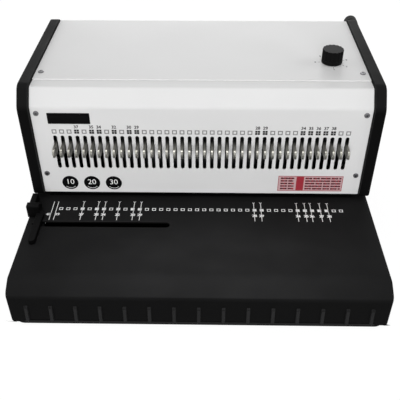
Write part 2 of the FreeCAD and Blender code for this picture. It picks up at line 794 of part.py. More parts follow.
def bottom_plate():
    plate = prism(
        "bottom_blank",
        "XY",
        [
            ("-half + plate_inset", "face - front_reach"),
            ("half - plate_inset", "face - front_reach"),
            ("half - plate_inset", "rear - base_wall / 2"),
            ("-half + plate_inset", "rear - base_wall / 2"),
        ],
        ("plate_low", "plate_top"),
        [((0, 1), "gap_inset - plate_inset"), ((2, 3), "rear_corner")],
    )
    lip = block(
        "plate_lip_fold",
        wide("gap_half"),
        ("face - front_reach", "face - front_reach + plate_fold"),
        ("plate_low + plate_thick / 2", "plate_top + plate_lip"),
    )
    holes = []
    for side in ("-", ""):
        for place in ("-foot_front", "foot_rear"):
            spot = (side + "foot_x", "face + " + place)
            span = ("plate_low - 1", "plate_top + 1")
            holes.append(rod("foot_hole_%d" % len(holes), "Z", spot, "stem_radius", span))
        for place in ("-boss_front", "boss_rear"):
            spot = (side + "boss_x", "face + " + place)
            span = ("plate_low - 1", "plate_top + 1")
            holes.append(rod("plate_hole_%d" % len(holes), "Z", spot, "screw_radius", span))
    keep("bottom_plate", cut("bottom_cut", fuse("bottom_folded", [plate, lip]), holes))


def rubber_feet():
    feet = []
    for side in ("-", ""):
        for place in ("-foot_front", "foot_rear"):
            spot = (side + "foot_x", "face + " + place)
            name = "foot_%d" % len(feet)
            pad_part = rod(name + "_pad", "Z", spot, "foot_radius", ("0", "plate_low"))
            stem = rod(name + "_stem", "Z", spot, "stem_radius", ("plate_low / 2", "plate_top"))
            feet.append(fuse(name, [pad_part, stem]))
    keep("rubber_feet", group("feet_group", feet))


def chip_drawer():
    depth = behind("drawer_front", "drawer_rear")
    height = ("plate_top + sheet_gap", "deck - drawer_top")
    inside = behind("drawer_front + drawer_wall", "drawer_rear - drawer_wall")
    trough = block("drawer_body", ("-drawer_left", "half - base_wall"), depth, height)
    fascia = block("drawer_fascia", ("half - base_wall", "half"), depth, height)
    hollow = block(
        "drawer_hollow",
        ("-drawer_left + drawer_wall", "half - base_wall - drawer_wall"),
        inside,
        ("plate_top + sheet_gap + drawer_wall", "deck"),
    )
    pull = rod(
        "drawer_pull",
        "X",
        ("face + (drawer_front + drawer_rear) / 2", "deck - drawer_top"),
        "pull_radius",
        ("half - base_wall - drawer_wall / 2", "half + 1"),
    )
    box = fuse("drawer_blank", [trough, fascia])
    keep("chip_drawer", cut("drawer_cut", box, [hollow, pull]))


# ---------------------------------------------------------------- housing


def screw_holes(name, span):
    """Four holes through the front panel or into the frames behind it."""
    holes = []
    for side in ("-", ""):
        for height in ("screw_low", "screw_high"):
            spot = (side + "screw_x", "deck + " + height)
            holes.append(rod("%s_%d" % (name, len(holes)), "Y", spot, "screw_radius", span))
    return holes


def front_panel():
    half_width = "inner - sheet_gap"
    outline = [
        yz("0", "panel_foot"),
        yz("0", "fold_height"),
        yz("bevel_depth", "housing_top"),
        yz("flange_end", "housing_top"),
        yz("flange_end", "housing_top - sheet"),
        yz("bevel_depth + sheet / 2", "housing_top - sheet"),
        yz("sheet", "fold_height - sheet / 2"),
        yz("sheet", "panel_foot"),
    ]
    rounds = [
        ((1,), "fold_round"),
        ((2,), "bevel_round"),
        ((6,), "fold_round - sheet"),
        ((5,), "bevel_round - sheet"),
    ]
    body = prism("panel_blank", "YZ", outline, wide(half_width), rounds)
    slot = new_sketch(body, "panel_slot", "XZ", "-face + 1")
    radius = "slot_width / 2"
    oblong(
        slot,
        ("-half_row", "deck + slot_low + slot_width / 2"),
        ("-half_row", "deck + slot_high - slot_width / 2"),
        radius,
    )
    cut_row(body, "panel_slots", slot, "sheet + 2", "punch_count", "punch_pitch")
    holes = screw_holes("panel_hole", behind("-1", "sheet + 1"))
    keep("front_panel", cut("panel_cut", body, holes))


def top_cover():
    half_width = "inner - sheet_gap"
    top = "housing_top + sheet"
    outline = [
        yz("cover_start", "housing_top"),
        yz("housing_depth - sheet", "housing_top"),
        yz("housing_depth - sheet", "apron_foot"),
        yz("housing_depth", "apron_foot"),
        yz("housing_depth", top),
        yz("cover_start", top),
    ]
    rounds = [((4,), "bevel_round + sheet"), ((1,), "bevel_round")]
    body = prism("cover_blank", "YZ", outline, wide(half_width), rounds)
    holes = [
        rod(
            "spindle_hole",
            "Z",
            ("dial_x", "face + dial_y"),
            "spindle_radius + snail_gap",
            above("housing_top - 1", "housing_top + sheet + 1"),
        )
    ]
    for side in ("-", ""):
        spot = (side + "screw_x", "face + screw_top_y")
        span = above("housing_top - 1", "housing_top + sheet + 1")
        holes.append(rod("top_hole_%d" % len(holes), "Z", spot, "screw_radius", span))
    keep("top_cover", cut("cover_cut", body, holes))


def rear_cover():
    """A sheet inside the rear apron, with side flanges outside the frames."""
    low = "housing_depth - 2 * sheet - sheet_gap"
    flange_out = "half_gap + frame + sheet_gap + sheet"
    flange_front = "face + frame_rear - rear_flange"
    outline = [
        ("-(%s)" % flange_out, flange_front),
        ("-(%s) + sheet" % flange_out, flange_front),
        ("-(%s) + sheet" % flange_out, "face + " + low),
        ("%s - sheet" % flange_out, "face + " + low),
        ("%s - sheet" % flange_out, flange_front),
        (flange_out, flange_front),
        (flange_out, "face + %s + sheet" % low),
        ("-(%s)" % flange_out, "face + %s + sheet" % low),
    ]
    span = above("rear_foot", "housing_top - 2 * bevel_round")
    body = prism("rear_blank", "XY", outline, span)
    vent = new_sketch(body, "rear_vent", "XZ", "-(face + %s) + 1" % low)
    first = "-vent_pitch * (vent_count - 1) / 2"
    oblong(
        vent,
        (first, "deck + vent_low"),
        (first, "deck + vent_high"),
        "vent_width / 2",
    )
    cut_row(body, "rear_vents", vent, "sheet + 2", "vent_count", "vent_pitch")
    axis = yz("closer_y", "closer_z")
    bore = rod("rear_bore", "X", axis, "closer_radius + closer_bush", wide("half"))
    keep("rear_cover", cut("rear_cut", body, [bore]))


def cheek(label, side, hole):
    """An end cheek: side is - for left; hole is the (y, z, radius) of its shaft hole."""
    inner_face = "inner"
    span = ("-half", "-(%s)" % inner_face) if side == "-" else (inner_face, "half")
    top = "housing_top + cheek_rise"
    outline = [
        yz("-cheek_proud", "panel_foot"),
        yz("-cheek_proud", "fold_height + 2"),
        yz("bevel_depth - cheek_rise", top),
        yz("housing_depth", top),
        yz("housing_depth", "seat_gap"),
        yz("cheek_step", "seat_gap"),
        yz("cheek_step", "panel_foot"),
    ]
    rounds = [((1, 2, 3), "cheek_corner"), ((0,), "cheek_rise"), ((4,), "side_round")]
    body = prism(label + "_blank", "YZ", outline, span, rounds)
    outer = number("-half" if side == "-" else "half")
    face_edges = []
    for index, edge in enumerate(body.Tip.Shape.Edges, 1):
        if all(abs(vertex.X - outer) < 1e-4 for vertex in edge.Vertexes):
            face_edges.append("Edge%d" % index)
    round_edges(body, label + "_edge", face_edges, "cheek_edge")
    y, z, radius = hole
    bore = rod(label + "_bore", "X", yz(y, z), radius, (side + "half - 20", side + "half + 20"))
    keep(label, cut(label + "_cut", body, [bore]))


def side_frame(label, side, extra):
    """A steel frame plate that carries the die, the shafts and the sheets."""
    near = "half_gap"
    far = "half_gap + frame"
    span = ("-(%s)" % far, "-(%s)" % near) if side == "-" else (near, far)
    outline = [
        yz("frame_front", "-base_drop"),
        yz("frame_rear", "-base_drop"),
        yz("frame_rear", "frame_top"),
        yz("bevel_depth + 4", "frame_top"),
        yz("frame_front", "fold_height - 4"),
    ]
    body = prism(label + "_blank", "YZ", outline, span)
    through = ("%s - 1" % span[0], "%s + 1" % span[1])

    def window(name, y, z):
        return block(label + name, through, behind(*y), above(*z))

    def bore(name, y, z, radius):
        return rod(label + name, "X", yz(y, z), radius, through)

    tools = [
        window("_throat", ("0", "throat_depth"), ("0", "throat")),
        window(
            "_beam_slot",
            ("tongue_front - slide_play", "tongue_rear + slide_play"),
            ("beam_low - stroke - 1", "beam_high + 1"),
        ),
        bore("_cam_bore", "cam_y", "cam_z", "shaft_radius + bush_wall"),
        bore("_closer_bore", "closer_y", "closer_z", "closer_radius + closer_bush"),
        bore("_tie_a", "tie_front", "tie_z", "tie_radius"),
        bore("_tie_b", "tie_rear", "tie_z", "tie_radius"),
    ]
    for height in ("screw_low", "screw_high"):
        spot = (side + "screw_x", "deck + " + height)
        deep = behind("frame_front - 1", "screw_length + 1")
        tools.append(rod(label + "_" + height, "Y", spot, "screw_radius", deep))
    spot = (side + "screw_x", "face + screw_top_y")
    deep = above("housing_top - screw_length - 1", "frame_top + 1")
    tools.append(rod(label + "_top_screw", "Z", spot, "screw_radius", deep))
    if extra == "drawer":
        tools.append(
            window(
                "_drawer",
                ("drawer_front - drawer_gap", "drawer_rear + drawer_gap"),
                ("-base_drop - 1", "-drawer_top + drawer_gap"),
            )
        )
    else:
        tools.append(bore("_margin_bore", "margin_y", "margin_z", "margin_radius + shaft_play"))
    keep(label, cut(label + "_cut", body, tools))


def tie_rods():
    span = wide("half_gap + frame")
    front = rod("tie_a", "X", yz("tie_front", "tie_z"), "tie_radius", span)
    back = rod("tie_b", "X", yz("tie_rear", "tie_z"), "tie_radius", span)
    keep("tie_rods", group("ties", [front, back]))


# ---------------------------------------------------------------- die set


def punched_plate(label, height):
    """A plate between the frames with one square hole for each punch."""
    outline = [
        ("-half_gap", "face + frame_front"),
        ("half_gap", "face + frame_front"),
        ("half_gap", "face + plates_rear"),
        ("-half_gap", "face + plates_rear"),
    ]
    body = prism(label + "_blank", "XY", outline, height)
    hole = new_sketch(body, label + "_hole", "XY", height[1])
    side = "punch_side / 2 + punch_play"
    corners = []
    for x, y in (("-", "-"), ("+", "-"), ("+", "+"), ("-", "+")):
        corners.append(("-half_row %s (%s)" % (x, side), "face + punch_y %s (%s)" % (y, side)))
    polygon(hole, corners)
    depth = "(%s) - (%s) + 1" % (height[1], height[0])
    cut_row(body, label + "_holes", hole, depth, "punch_count", "punch_pitch")
    return keep(label, body)


def die_set():
    punched_plate("die_plate", above("-die_thick", "0"))
    punched_plate("punch_guide_plate", above("throat", "guide_top"))
    spacer = block(
        "spacer",
        ("half_gap - spacer_width", "half_gap"),
        behind("throat_depth + 1", "plates_rear"),
        above("0", "throat"),
    )
    keep("throat_spacers", both_sides("spacers", spacer))


def paper_stop():
    strip = block(
        "stop_strip",
        wide("stop_half"),
        behind("stop_front", "plates_rear + 4"),
        above("stop_play", "throat - stop_play"),
    )
    foot = block(
        "stop_foot",
        ("-stop_half", "-stop_half + 4 * lug_thick"),
        behind("plates_rear", "stop_rear"),
        above("stop_play", "throat - stop_play"),
    )
    left = "-stop_half + lug_thick"
    lug = block(
        "stop_lug",
        (left, left + " + lug_thick"),
        behind("stop_rear - lug_width", "stop_rear"),
        above("stop_play", "lug_top"),
    )
    slot = rounded_slot(
        "lug_slot",
        "YZ",
        yz("margin_y", "margin_z - crank_throw - crank_pin / 2"),
        yz("margin_y", "margin_z - crank_throw + crank_pin"),
        "crank_pin + punch_play",
        (left + " - 1", left + " + lug_thick + 1"),
    )
    keep("paper_stop", cut("stop_cut", fuse("stop_blank", [strip, foot, lug]), [slot]))


def margin_control():
    axis = yz("margin_y", "margin_z")
    disc_right = "-stop_half + lug_thick - 1"
    shaft = rod(
        "margin_rod", "X", axis, "margin_radius", ("-half - knob_length / 2", disc_right + " - 3")
    )
    disc = rod("margin_disc", "X", axis, "crank_radius", (disc_right + " - 4", disc_right))
    crank = rod(
        "margin_crank",
        "X",
        yz("margin_y", "margin_z - crank_throw"),
        "crank_pin",
        (disc_right + " - 1", disc_right + " + lug_thick + 2"),
    )
    keep("margin_shaft", fuse("margin_fuse", [shaft, disc, crank]))
    outer = ("-half - knob_gap - knob_length", "-half - knob_gap")
    grip = rod("margin_grip", "X", axis, "knob_radius", outer)
    flutes = []
    for index in range(int(number("knob_flutes"))):
        angle = "360 / knob_flutes * %d" % index
        reach = "(knob_radius + knob_flute_out)"
        spot = yz(
            "margin_y + %s * cos(%s)" % (reach, angle), "margin_z + %s * sin(%s)" % (reach, angle)
        )
        span = ("-half - knob_gap - knob_length - 1", "-half - knob_gap - knob_skirt")
        flutes.append(rod("margin_flute_%d" % index, "X", spot, "knob_flute", span))
    bore = rod(
        "margin_knob_bore", "X", axis, "margin_radius", ("-half - knob_length / 2", "-half")
    )
    keep("margin_knob", cut("margin_knob_cut", grip, flutes + [bore]))


# ---------------------------------------------------------------- punch beam


def punch_beam():
    outline = [
        ("-(half_gap - beam_play)", "face + beam_front"),
        ("half_gap - beam_play", "face + beam_front"),
        ("half_gap - beam_play", "face + tongue_front"),
        ("half_gap + frame", "face + tongue_front"),
        ("half_gap + frame", "face + tongue_rear"),
        ("half_gap - beam_play", "face + tongue_rear"),
        ("half_gap - beam_play", "face + beam_rear"),
        ("-(half_gap - beam_play)", "face + beam_rear"),
        ("-(half_gap - beam_play)", "face + tongue_rear"),
        ("-(half_gap + frame)", "face + tongue_rear"),
        ("-(half_gap + frame)", "face + tongue_front"),
        ("-(half_gap - beam_play)", "face + tongue_front"),
    ]
    body = prism("beam_blank", "XY", outline, above("beam_low", "beam_high"))
    # One hole for the head of each punch.
    hole = new_sketch(body, "beam_hole", "XY", "deck + beam_high + 1")
    across = "head_width / 2 + pin_play"
    along = "punch_side / 2 + pin_play"
    corners = []
    for x, y in (("-", "-"), ("+", "-"), ("+", "+"), ("-", "+")):
        corners.append(("-half_row %s (%s)" % (x, across), "face + punch_y %s (%s)" % (y, along)))
    polygon(hole, corners)
    cut_row(body, "beam_holes", hole, "beam_high - beam_low + 2", "punch_count", "punch_pitch")
    # One channel from the front for each release pin.
    channel = new_sketch(body, "beam_channel", "XZ", "-(face + beam_front) + 1")
    half_thick = "pin_thick / 2 + pin_play"
    low = "deck + pin_low - pin_play"
    high = "deck + pin_low + pin_height + pin_play"
    polygon(
        channel,
        [
            ("-half_row - (%s)" % half_thick, low),
            ("-half_row + (%s)" % half_thick, low),
            ("-half_row + (%s)" % half_thick, high),
            ("-half_row - (%s)" % half_thick, high),
        ],
    )
    depth = "pin_rear - beam_front + 2"
    cut_row(body, "beam_channels", channel, depth, "punch_count", "punch_pitch")
    tunnel = rod("rod_tunnel", "X", yz("rod_y", "rod_z"), "rod_radius", wide("half_gap"))
    drilled = cut("beam_drilled", body, [tunnel])
    ears = []
    for side in ("-", ""):
        for hand in ("-", "+"):
            inner_x = "cam_width / 2 + roller_side"
            low_x = "%scam_x %s (%s + ear_thick / 2) - ear_thick / 2" % (side, hand, inner_x)
            span = (low_x, low_x + " + ear_thick")
            name = "ear_%d" % len(ears)
            foot = block(
                name + "_foot",
                span,
                behind("cam_y - ear_reach - 1", "cam_y + ear_reach + 1"),
                above("beam_high - 1", "roller_z"),
            )
            crown = rod(name + "_crown", "X", yz("cam_y", "roller_z"), "ear_reach + 1", span)
            ear = fuse(name + "_solid", [foot, crown])
            bore = rod(
                name + "_bore",
                "X",
                yz("cam_y", "roller_z"),
                "roller_pin",
                (span[0] + " - 1", span[1] + " + 1"),
            )
            ears.append(cut(name, ear, [bore]))
    keep("punch_beam", fuse("beam_whole", [drilled] + ears))


def upright_box(x, y, size_x, size_y, low, high):
    """A box centred on x and y, from low to high."""
    corner = FreeCAD.Vector(x - size_x / 2, y - size_y / 2, low)
    return Part.makeBox(size_x, size_y, high - low, corner)


def punch_pins():
    """Square punches; each head has a window that its release pin passes through."""
    side = number("punch_side")
    play = number("pin_play")
    y = number("face + punch_y")
    pins = []
    for index in range(int(number("punch_count"))):
        x = number("-half_row + punch_pitch * %d" % index)
        foot = number("deck + punch_rest")
        neck = number("deck + head_low")
        crown = number("deck + head_high")
        shank = upright_box(x, y, side, side, foot, neck)
        head = upright_box(x, y, number("head_width"), side, neck, crown)
        window = upright_box(
            x,
            y,
            number("pin_thick") + 2 * play,
            side + 2,
            number("deck + pin_low") - play,
            number("deck + pin_low + pin_height") + play,
        )
        pins.append(shank.fuse(head).cut(window).removeSplitter())
    keep("punch_pins", made("punches", Part.makeCompound(pins)))


def release_pin(index):
    """A flat steel pin with a rounded nose and a slot for the retaining rod."""
    thick = number("pin_thick")
    x = number("-half_row + punch_pitch * %d" % index) - thick / 2
    front = number("face - pin_front")
    low = number("deck + pin_low")
    length = number("pin_front + pin_rear")
    high = number("pin_height")
    blank = Part.makeBox(thick, length, high, FreeCAD.Vector(x, front, low))
    nose = [
        edge
        for edge in blank.Edges
        if all(abs(vertex.Y - front) < 1e-6 for vertex in edge.Vertexes)
        and abs(edge.Vertexes[0].X - edge.Vertexes[1].X) > 1e-6
    ]
    blank = blank.makeFillet(number("pin_round"), nose)
    play = number("pin_play")
    radius = number("rod_radius") + play
    start = number("face + rod_y")
    pull = number("pin_pull")
    level = number("deck + rod_z")
    along = FreeCAD.Vector(1, 0, 0)
    for y in (start - play, start + pull + play):
        centre = FreeCAD.Vector(x - 1, y, level)
        blank = blank.cut(Part.makeCylinder(radius, thick + 2, centre, along))
    corner = FreeCAD.Vector(x - 1, start - play, level - radius)
    blank = blank.cut(Part.makeBox(thick + 2, pull + 2 * play, 2 * radius, corner))
    return blank


def release_pins():
    size = int(number("pins_per_group"))
    total = int(number("punch_count"))
    for start in range(0, total, size):
        stop = min(start + size, total)
        pins = [release_pin(index) for index in range(start, stop)]
        label = "release_pins_%02d_%02d" % (start + 1, stop)
        keep(label, made(label + "_set", Part.makeCompound(pins)))


def beam_fittings():
    length = wide("half_gap - beam_play")
    keep("retaining_rod", rod("rod", "X", yz("rod_y", "rod_z"), "rod_radius", length))
    axis = yz("cam_y", "roller_z")
    half_pin = "cam_width / 2 + roller_side + ear_thick"
    span = ("cam_x - (%s)" % half_pin, "cam_x + (%s)" % half_pin)
    keep("roller_pins", both_sides("pins", rod("roller_axle", "X", axis, "roller_pin", span)))
    span = ("cam_x - cam_width / 2", "cam_x + cam_width / 2")
    tyre = rod("roller_tyre", "X", axis, "roller_radius", span)
    bore = rod("roller_bore", "X", axis, "roller_pin + shaft_play", wide("half"))
    keep("cam_rollers", both_sides("rollers", cut("roller", tyre, [bore])))


def coil(radius, wire, turns, base, height):
    """A helical spring standing on base."""
    pitch = (height - wire) / turns
    helix = Part.makeHelix(pitch, height - wire, radius)
    start = FreeCAD.Vector(radius, 0, 0)
    section = Part.Wire([Part.makeCircle(wire / 2, start, FreeCAD.Vector(0, 1, 0))])
    spring = Part.Wire(helix).makePipeShell([section], True, True)
    spring.translate(base + FreeCAD.Vector(0, 0, wire / 2))
    return spring


def springs():
    """Two springs under the punch beam and two under the closer bar."""

    def spring_pair(label, x, y, low, high, radius, wire, turns):
        play = number("slide_play")
        height = number("(%s) - (%s)" % (high, low)) - 2 * play
        level = number("deck + (%s)" % low) + play
        pair = []
        for side in (-1, 1):
            base = FreeCAD.Vector(side * number(x), number("face + " + y), level)
            pair.append(coil(number(radius), number(wire), number(turns), base, height))
        keep(label, made(label + "_pair", Part.makeCompound(pair)))

    place = ("spring_x", "spring_y", "guide_top", "beam_low")
    spring_pair("return_springs", *place, "spring_radius", "spring_wire", "spring_turns")
    place = ("coil_x", "closer_y", "guide_low + guide_floor", "bar_ear_low")
    spring_pair("closer_springs", *place, "coil_radius", "coil_wire", "coil_turns")


# ---------------------------------------------------------------- cams and drive


def polar(centre, radius, angle):
    """A point in a plane across X; the angle turns from +Y towards +Z."""
    return centre + FreeCAD.Vector(0, radius * math.cos(angle), radius * math.sin(angle))


def flank_point(centre, hand, turn, rate, reach, ring):
    """Where a cam touches a round follower below it that has sunk evenly with the turn."""
    angle = -math.pi / 2 + hand * turn
    distance = reach + rate * turn
    slant = math.hypot(distance, rate)
    outward = FreeCAD.Vector(0, math.cos(angle), math.sin(angle))
    onward = FreeCAD.Vector(0, -math.sin(angle), math.cos(angle)) * hand
    inset = (outward * distance - onward * rate) * (ring / slant)
    return centre + outward * distance - inset


def flank_curve(points):
    curve = Part.BSplineCurve()
    curve.interpolate(points)
    return curve.toShape()


def even_cam(x, place, low, rate, turn, follower, bore, heart):
    """A cam that moves its follower evenly; a heart cam does so whichever way it turns."""
    width = number("cam_width")
    ring = follower + number("cam_gap")
    reach = low + ring
    middle = FreeCAD.Vector(x - width / 2, place[0], place[1])
    rest = middle - FreeCAD.Vector(0, 0, reach)
    seat = middle - FreeCAD.Vector(0, 0, low)
    along = FreeCAD.Vector(1, 0, 0)
    steps = 14
    if heart:
        # The two flanks meet in a point just short of the half turn.
        short, far = turn * 0.8, turn
        for _ in range(40):
            guess = (short + far) / 2
            point = flank_point(middle, 1, guess, rate, reach, ring)
            short, far = (guess, far) if point.y > middle.y else (short, guess)
        turn = short
    turns = [turn * step / steps for step in range(steps + 1)]
    first = [flank_point(middle, -1, t, rate, reach, ring) for t in turns]
    if heart:
        second = [FreeCAD.Vector(p.x, 2 * middle.y - p.y, p.z) for p in first]
        first[-1] = second[-1] = (first[-1] + second[-1]) * 0.5
        cradle = Part.Arc(second[0], seat, first[0]).toShape()
        edges = [cradle, flank_curve(first), flank_curve(second)]
    else:
        corner = (first[0] + seat) * 0.5 - rest
        mid = rest + corner * (ring / corner.Length)
        top = middle + FreeCAD.Vector(0, 0, low)
        behind_it = middle + FreeCAD.Vector(0, low, 0)
        edges = [
            Part.Arc(seat, mid, first[0]).toShape(),
            flank_curve(first),
            Part.LineSegment(first[-1], top).toShape(),
            Part.Arc(top, behind_it, seat).toShape(),
        ]
    face = Part.Face(Part.Wire(Part.__sortEdges__(edges)))
    body = face.extrude(along * width)
    if not heart:
        body = body.fuse(Part.makeCylinder(low, width, middle, along)).removeSplitter()
    return body.cut(Part.makeCylinder(bore, width, middle, along))


def gear_shape(x, centre, teeth, width, bore, phase):
    """A spur gear with involute teeth, thinned a little for backlash."""
    module = number("gear_module")
    pressure = math.radians(20)
    pitch_radius = module * teeth / 2
    base_radius = pitch_radius * math.cos(pressure)
    tip = pitch_radius + module
    root = pitch_radius - 1.25 * module
    backlash = 0.08 / pitch_radius
    spread = math.pi / (2 * teeth) - backlash + math.tan(pressure) - pressure
    middle = FreeCAD.Vector(x, centre[0], centre[1])
    start = max(root, base_radius)
    points = []
    for tooth in range(teeth):
        axis = phase + 2 * math.pi * tooth / teeth
        flank = []
        for step in range(6):
            radius = start + (tip - start) * step / 5
            roll = math.acos(min(1, base_radius / radius))
            flank.append((radius, spread - (math.tan(roll) - roll)))
        if root < start:
            flank.insert(0, (root, flank[0][1]))
        points += [polar(middle, radius, axis - angle) for radius, angle in flank]
        points += [polar(middle, radius, axis + angle) for radius, angle in reversed(flank)]
    outline = Part.makePolygon(points + [points[0]])
    body = Part.Face(outline).extrude(FreeCAD.Vector(width, 0, 0))
    if bore:
        body = body.cut(Part.makeCylinder(bore, width, middle, FreeCAD.Vector(1, 0, 0)))
    return body


def cam_drive():
    axis = yz("cam_y", "cam_z")
    keep("camshaft", rod("cam_rod", "X", axis, "shaft_radius", wide("half_gap + frame")))
    span = ("half_gap", "half_gap + frame")
    ring = rod("cam_ring", "X", axis, "shaft_radius + bush_wall", span)
    bore = rod("cam_ring_bore", "X", axis, "shaft_radius + shaft_play", wide("half"))
    keep("camshaft_bushes", both_sides("cam_bushes", cut("cam_bush", ring, [bore])))
    place = (number("face + cam_y"), number("deck + cam_z"))
    low = number("cam_low")
    rate = number("stroke") / math.pi
    follower = number("roller_radius")
    bore = number("shaft_radius")
    cams = []
    for x in (-number("cam_x"), number("cam_x")):
        cams.append(even_cam(x, place, low, rate, math.pi, follower, bore, True))
    keep("press_cams", made("press_cam_pair", Part.makeCompound(cams)))
    teeth = int(number("gear_teeth"))
    wide_face = number("gear_width")
    left = -number("gear_x") - wide_face / 2
    gear = gear_shape(left, place, teeth, wide_face, bore, 0)
    keep("drive_gear", made("gear", gear))
    small = int(number("pinion_teeth"))
    place = (number("face + pinion_y"), number("deck + cam_z"))
    phase = math.pi + math.pi / small
    pinion = gear_shape(left, place, small, wide_face, 0, phase)
    shaft_end = number("-case_right - stub_gap")
    start = left + wide_face - 1
    at = FreeCAD.Vector(start, place[0], place[1])
    along = FreeCAD.Vector(1, 0, 0)
    stub = Part.makeCylinder(number("pinion_shaft"), shaft_end - start, at, along)
    keep("output_pinion", made("pinion", pinion.fuse(stub).removeSplitter()))


def motor_unit():
    depth = behind("shelf_front", "shelf_rear")
    height = above("shelf_top - shelf_thick", "shelf_top")
    keep("motor_shelf", block("shelf", wide("half_gap"), depth, height))
    left = "-gear_x + gear_width / 2 + case_side"
    case = prism(
        "case_blank",
        "YZ",
        [
            yz("case_front", "shelf_top"),
            yz("case_front + case_depth", "shelf_top"),
            yz("case_front + case_depth", "case_top"),
            yz("case_front", "case_top"),
        ],
        (left, "-case_right"),
        [((2, 3), "case_round")],
    )
    bore = rod(
        "case_bore",
        "X",
        yz("pinion_y", "cam_z"),
        "pinion_shaft + shaft_play",
        (left + " - 1", "-case_right - stub_gap + 1"),
    )
    keep("gearbox_case", cut("case_cut", case, [bore]))
    can_axis = yz("motor_y", "motor_z")
    can_end = "-case_right + motor_length"
    can = rod("can_body", "X", can_axis, "motor_radius", ("-case_right", can_end))
    end_span = (can_end + " - 1", can_end + " + motor_boss")
    end = rod("can_end", "X", can_axis, "motor_boss_radius", end_span)
    keep("motor_can", fuse("can", [can, end]))


# ---------------------------------------------------------------- wire closer


def wire_closer():
    half_length = "half_gap - sheet_gap"
    outline = [
        yz("anvil_front", "sheet_gap"),
        yz("housing_depth - beam_play", "sheet_gap"),
        yz("housing_depth - beam_play", "anvil_top"),
        yz("anvil_front + anvil_wall", "anvil_top"),
        yz("anvil_front + anvil_wall", "anvil_top + anvil_rise"),
        yz("anvil_front", "anvil_top + anvil_rise"),
    ]
    keep("wire_anvil", prism("anvil", "YZ", outline, wide(half_length), [((2,), "side_round")]))

    guide_x = ("bar_half + 1", "half_gap")
    guide = block(
        "guide_blank",
        guide_x,
        behind("bar_front - guide_wall", "bar_front + bar_thick + guide_wall"),
        above("guide_low", "guide_high"),
    )
    channel = block(
        "guide_channel",
        ("bar_half", "half_gap + 1"),
        behind("bar_front - slide_play", "bar_front + bar_thick + slide_play"),
        above("guide_low + guide_floor", "guide_high + 1"),
    )
    keep("closer_guides", both_sides("closer_guide_pair", cut("guide_cut", guide, [channel])))

    bar_depth = behind("bar_front", "bar_front + bar_thick")
    main = block("bar_main", wide("bar_half"), bar_depth, above("bar_low", "bar_high"))
    ears = block(
        "bar_ears",
        wide("half_gap - beam_play"),
        bar_depth,
        above("bar_ear_low", "bar_high"),
    )
    pads = []
    for side in ("-", ""):
        middle = side + "closer_cam_x"
        span = (middle + " - cam_width / 2", middle + " + cam_width / 2")
        neck = block(
            "pad_neck_%d" % len(pads),
            span,
            behind("closer_y - 3", "closer_y + 3"),
            above("bar_high - 1", "bar_high + pad_radius"),
        )
        tip = rod(
            "pad_tip_%d" % len(pads), "X", yz("closer_y", "bar_high + pad_radius"), "pad_radius", span
        )
        pads += [neck, tip]
    keep("closer_bar", fuse("closer_bar_solid", [main, ears] + pads))

    axis = yz("closer_y", "closer_z")
    shaft = rod(
        "closer_rod",
        "X",
        axis,
        "closer_radius",
        ("-half_gap - frame", "lever_x + hub_length / 2"),
    )
    arm = block(
        "stop_arm",
        ("dial_x - slide_width / 2", "dial_x + slide_width / 2"),
        behind("closer_y - arm_width / 2", "closer_y + arm_width / 2"),
        above("closer_z", "closer_z + arm_length"),
    )
    keep("closer_shaft", fuse("closer_shaft_solid", [shaft, arm]))
    ring_span = ("half_gap", "half_gap + frame")
    ring = rod("closer_ring", "X", axis, "closer_radius + closer_bush", ring_span)
    bore = rod("closer_ring_bore", "X", axis, "closer_radius + shaft_play", wide("half"))
    keep("closer_bushes", both_sides("closer_bush_pair", cut("closer_bush_one", ring, [bore])))
    place = (number("face + closer_y"), number("deck + closer_z"))
    low = number("closer_cam_low")
    turn = math.radians(number("closer_rise"))
    rate = number("closer_lift") / turn
    follower = number("pad_radius")
    bore = number("closer_radius")
    cams = []
    for x in (-number("closer_cam_x"), number("closer_cam_x")):
        cams.append(even_cam(x, place, low, rate, turn * 1.05, follower, bore, False))
    keep("closer_cams", made("closer_cam_pair", Part.makeCompound(cams)))


def lever_point(distance, across):
    """A point of the lever at rest: distance from the pivot, and across its arm."""
    return yz(
        "closer_y + (%s) * cos(lever_tilt) - (%s) * sin(lever_tilt)" % (distance, across),
        "closer_z + (%s) * sin(lever_tilt) + (%s) * cos(lever_tilt)" % (distance, across),
    )


def closing_lever():
    arm = prism(
        "lever_arm",
        "YZ",
        [
            lever_point("0", "-lever_width / 2"),
            lever_point("lever_length - 4", "-lever_width / 3"),
            lever_point("lever_length - 4", "lever_width / 3"),
            lever_point("0", "lever_width / 2"),
        ],
        ("lever_x - lever_thick / 2", "lever_x + lever_thick / 2"),
    )
    hub_span = ("lever_x - hub_length / 2", "lever_x + hub_length / 2")
    hub = rod("lever_hub", "X", yz("closer_y", "closer_z"), "hub_radius", hub_span)
    bore = rod("lever_bore", "X", yz("closer_y", "closer_z"), "closer_radius", hub_span)
    blank = fuse("lever_blank", [arm, hub])
    keep("closing_lever", cut("lever_cut", blank, [bore]))
    tilt = math.radians(number("lever_tilt"))
    along = FreeCAD.Vector(0, math.cos(tilt), math.sin(tilt))
    pivot = FreeCAD.Vector(number("lever_x"), number("face + closer_y"), number("deck + closer_z"))
    length = number("grip_length")
    radius = number("grip_radius")
    start = pivot + along * (number("lever_length") - length)
    sleeve = Part.makeCylinder(radius, length, start, along)
    sleeve = sleeve.makeFillet(radius / 2, [e for e in sleeve.Edges if len(e.Vertexes) == 1])
    keep("lever_grip", cut("grip", made("grip_sleeve", sleeve), [blank]))


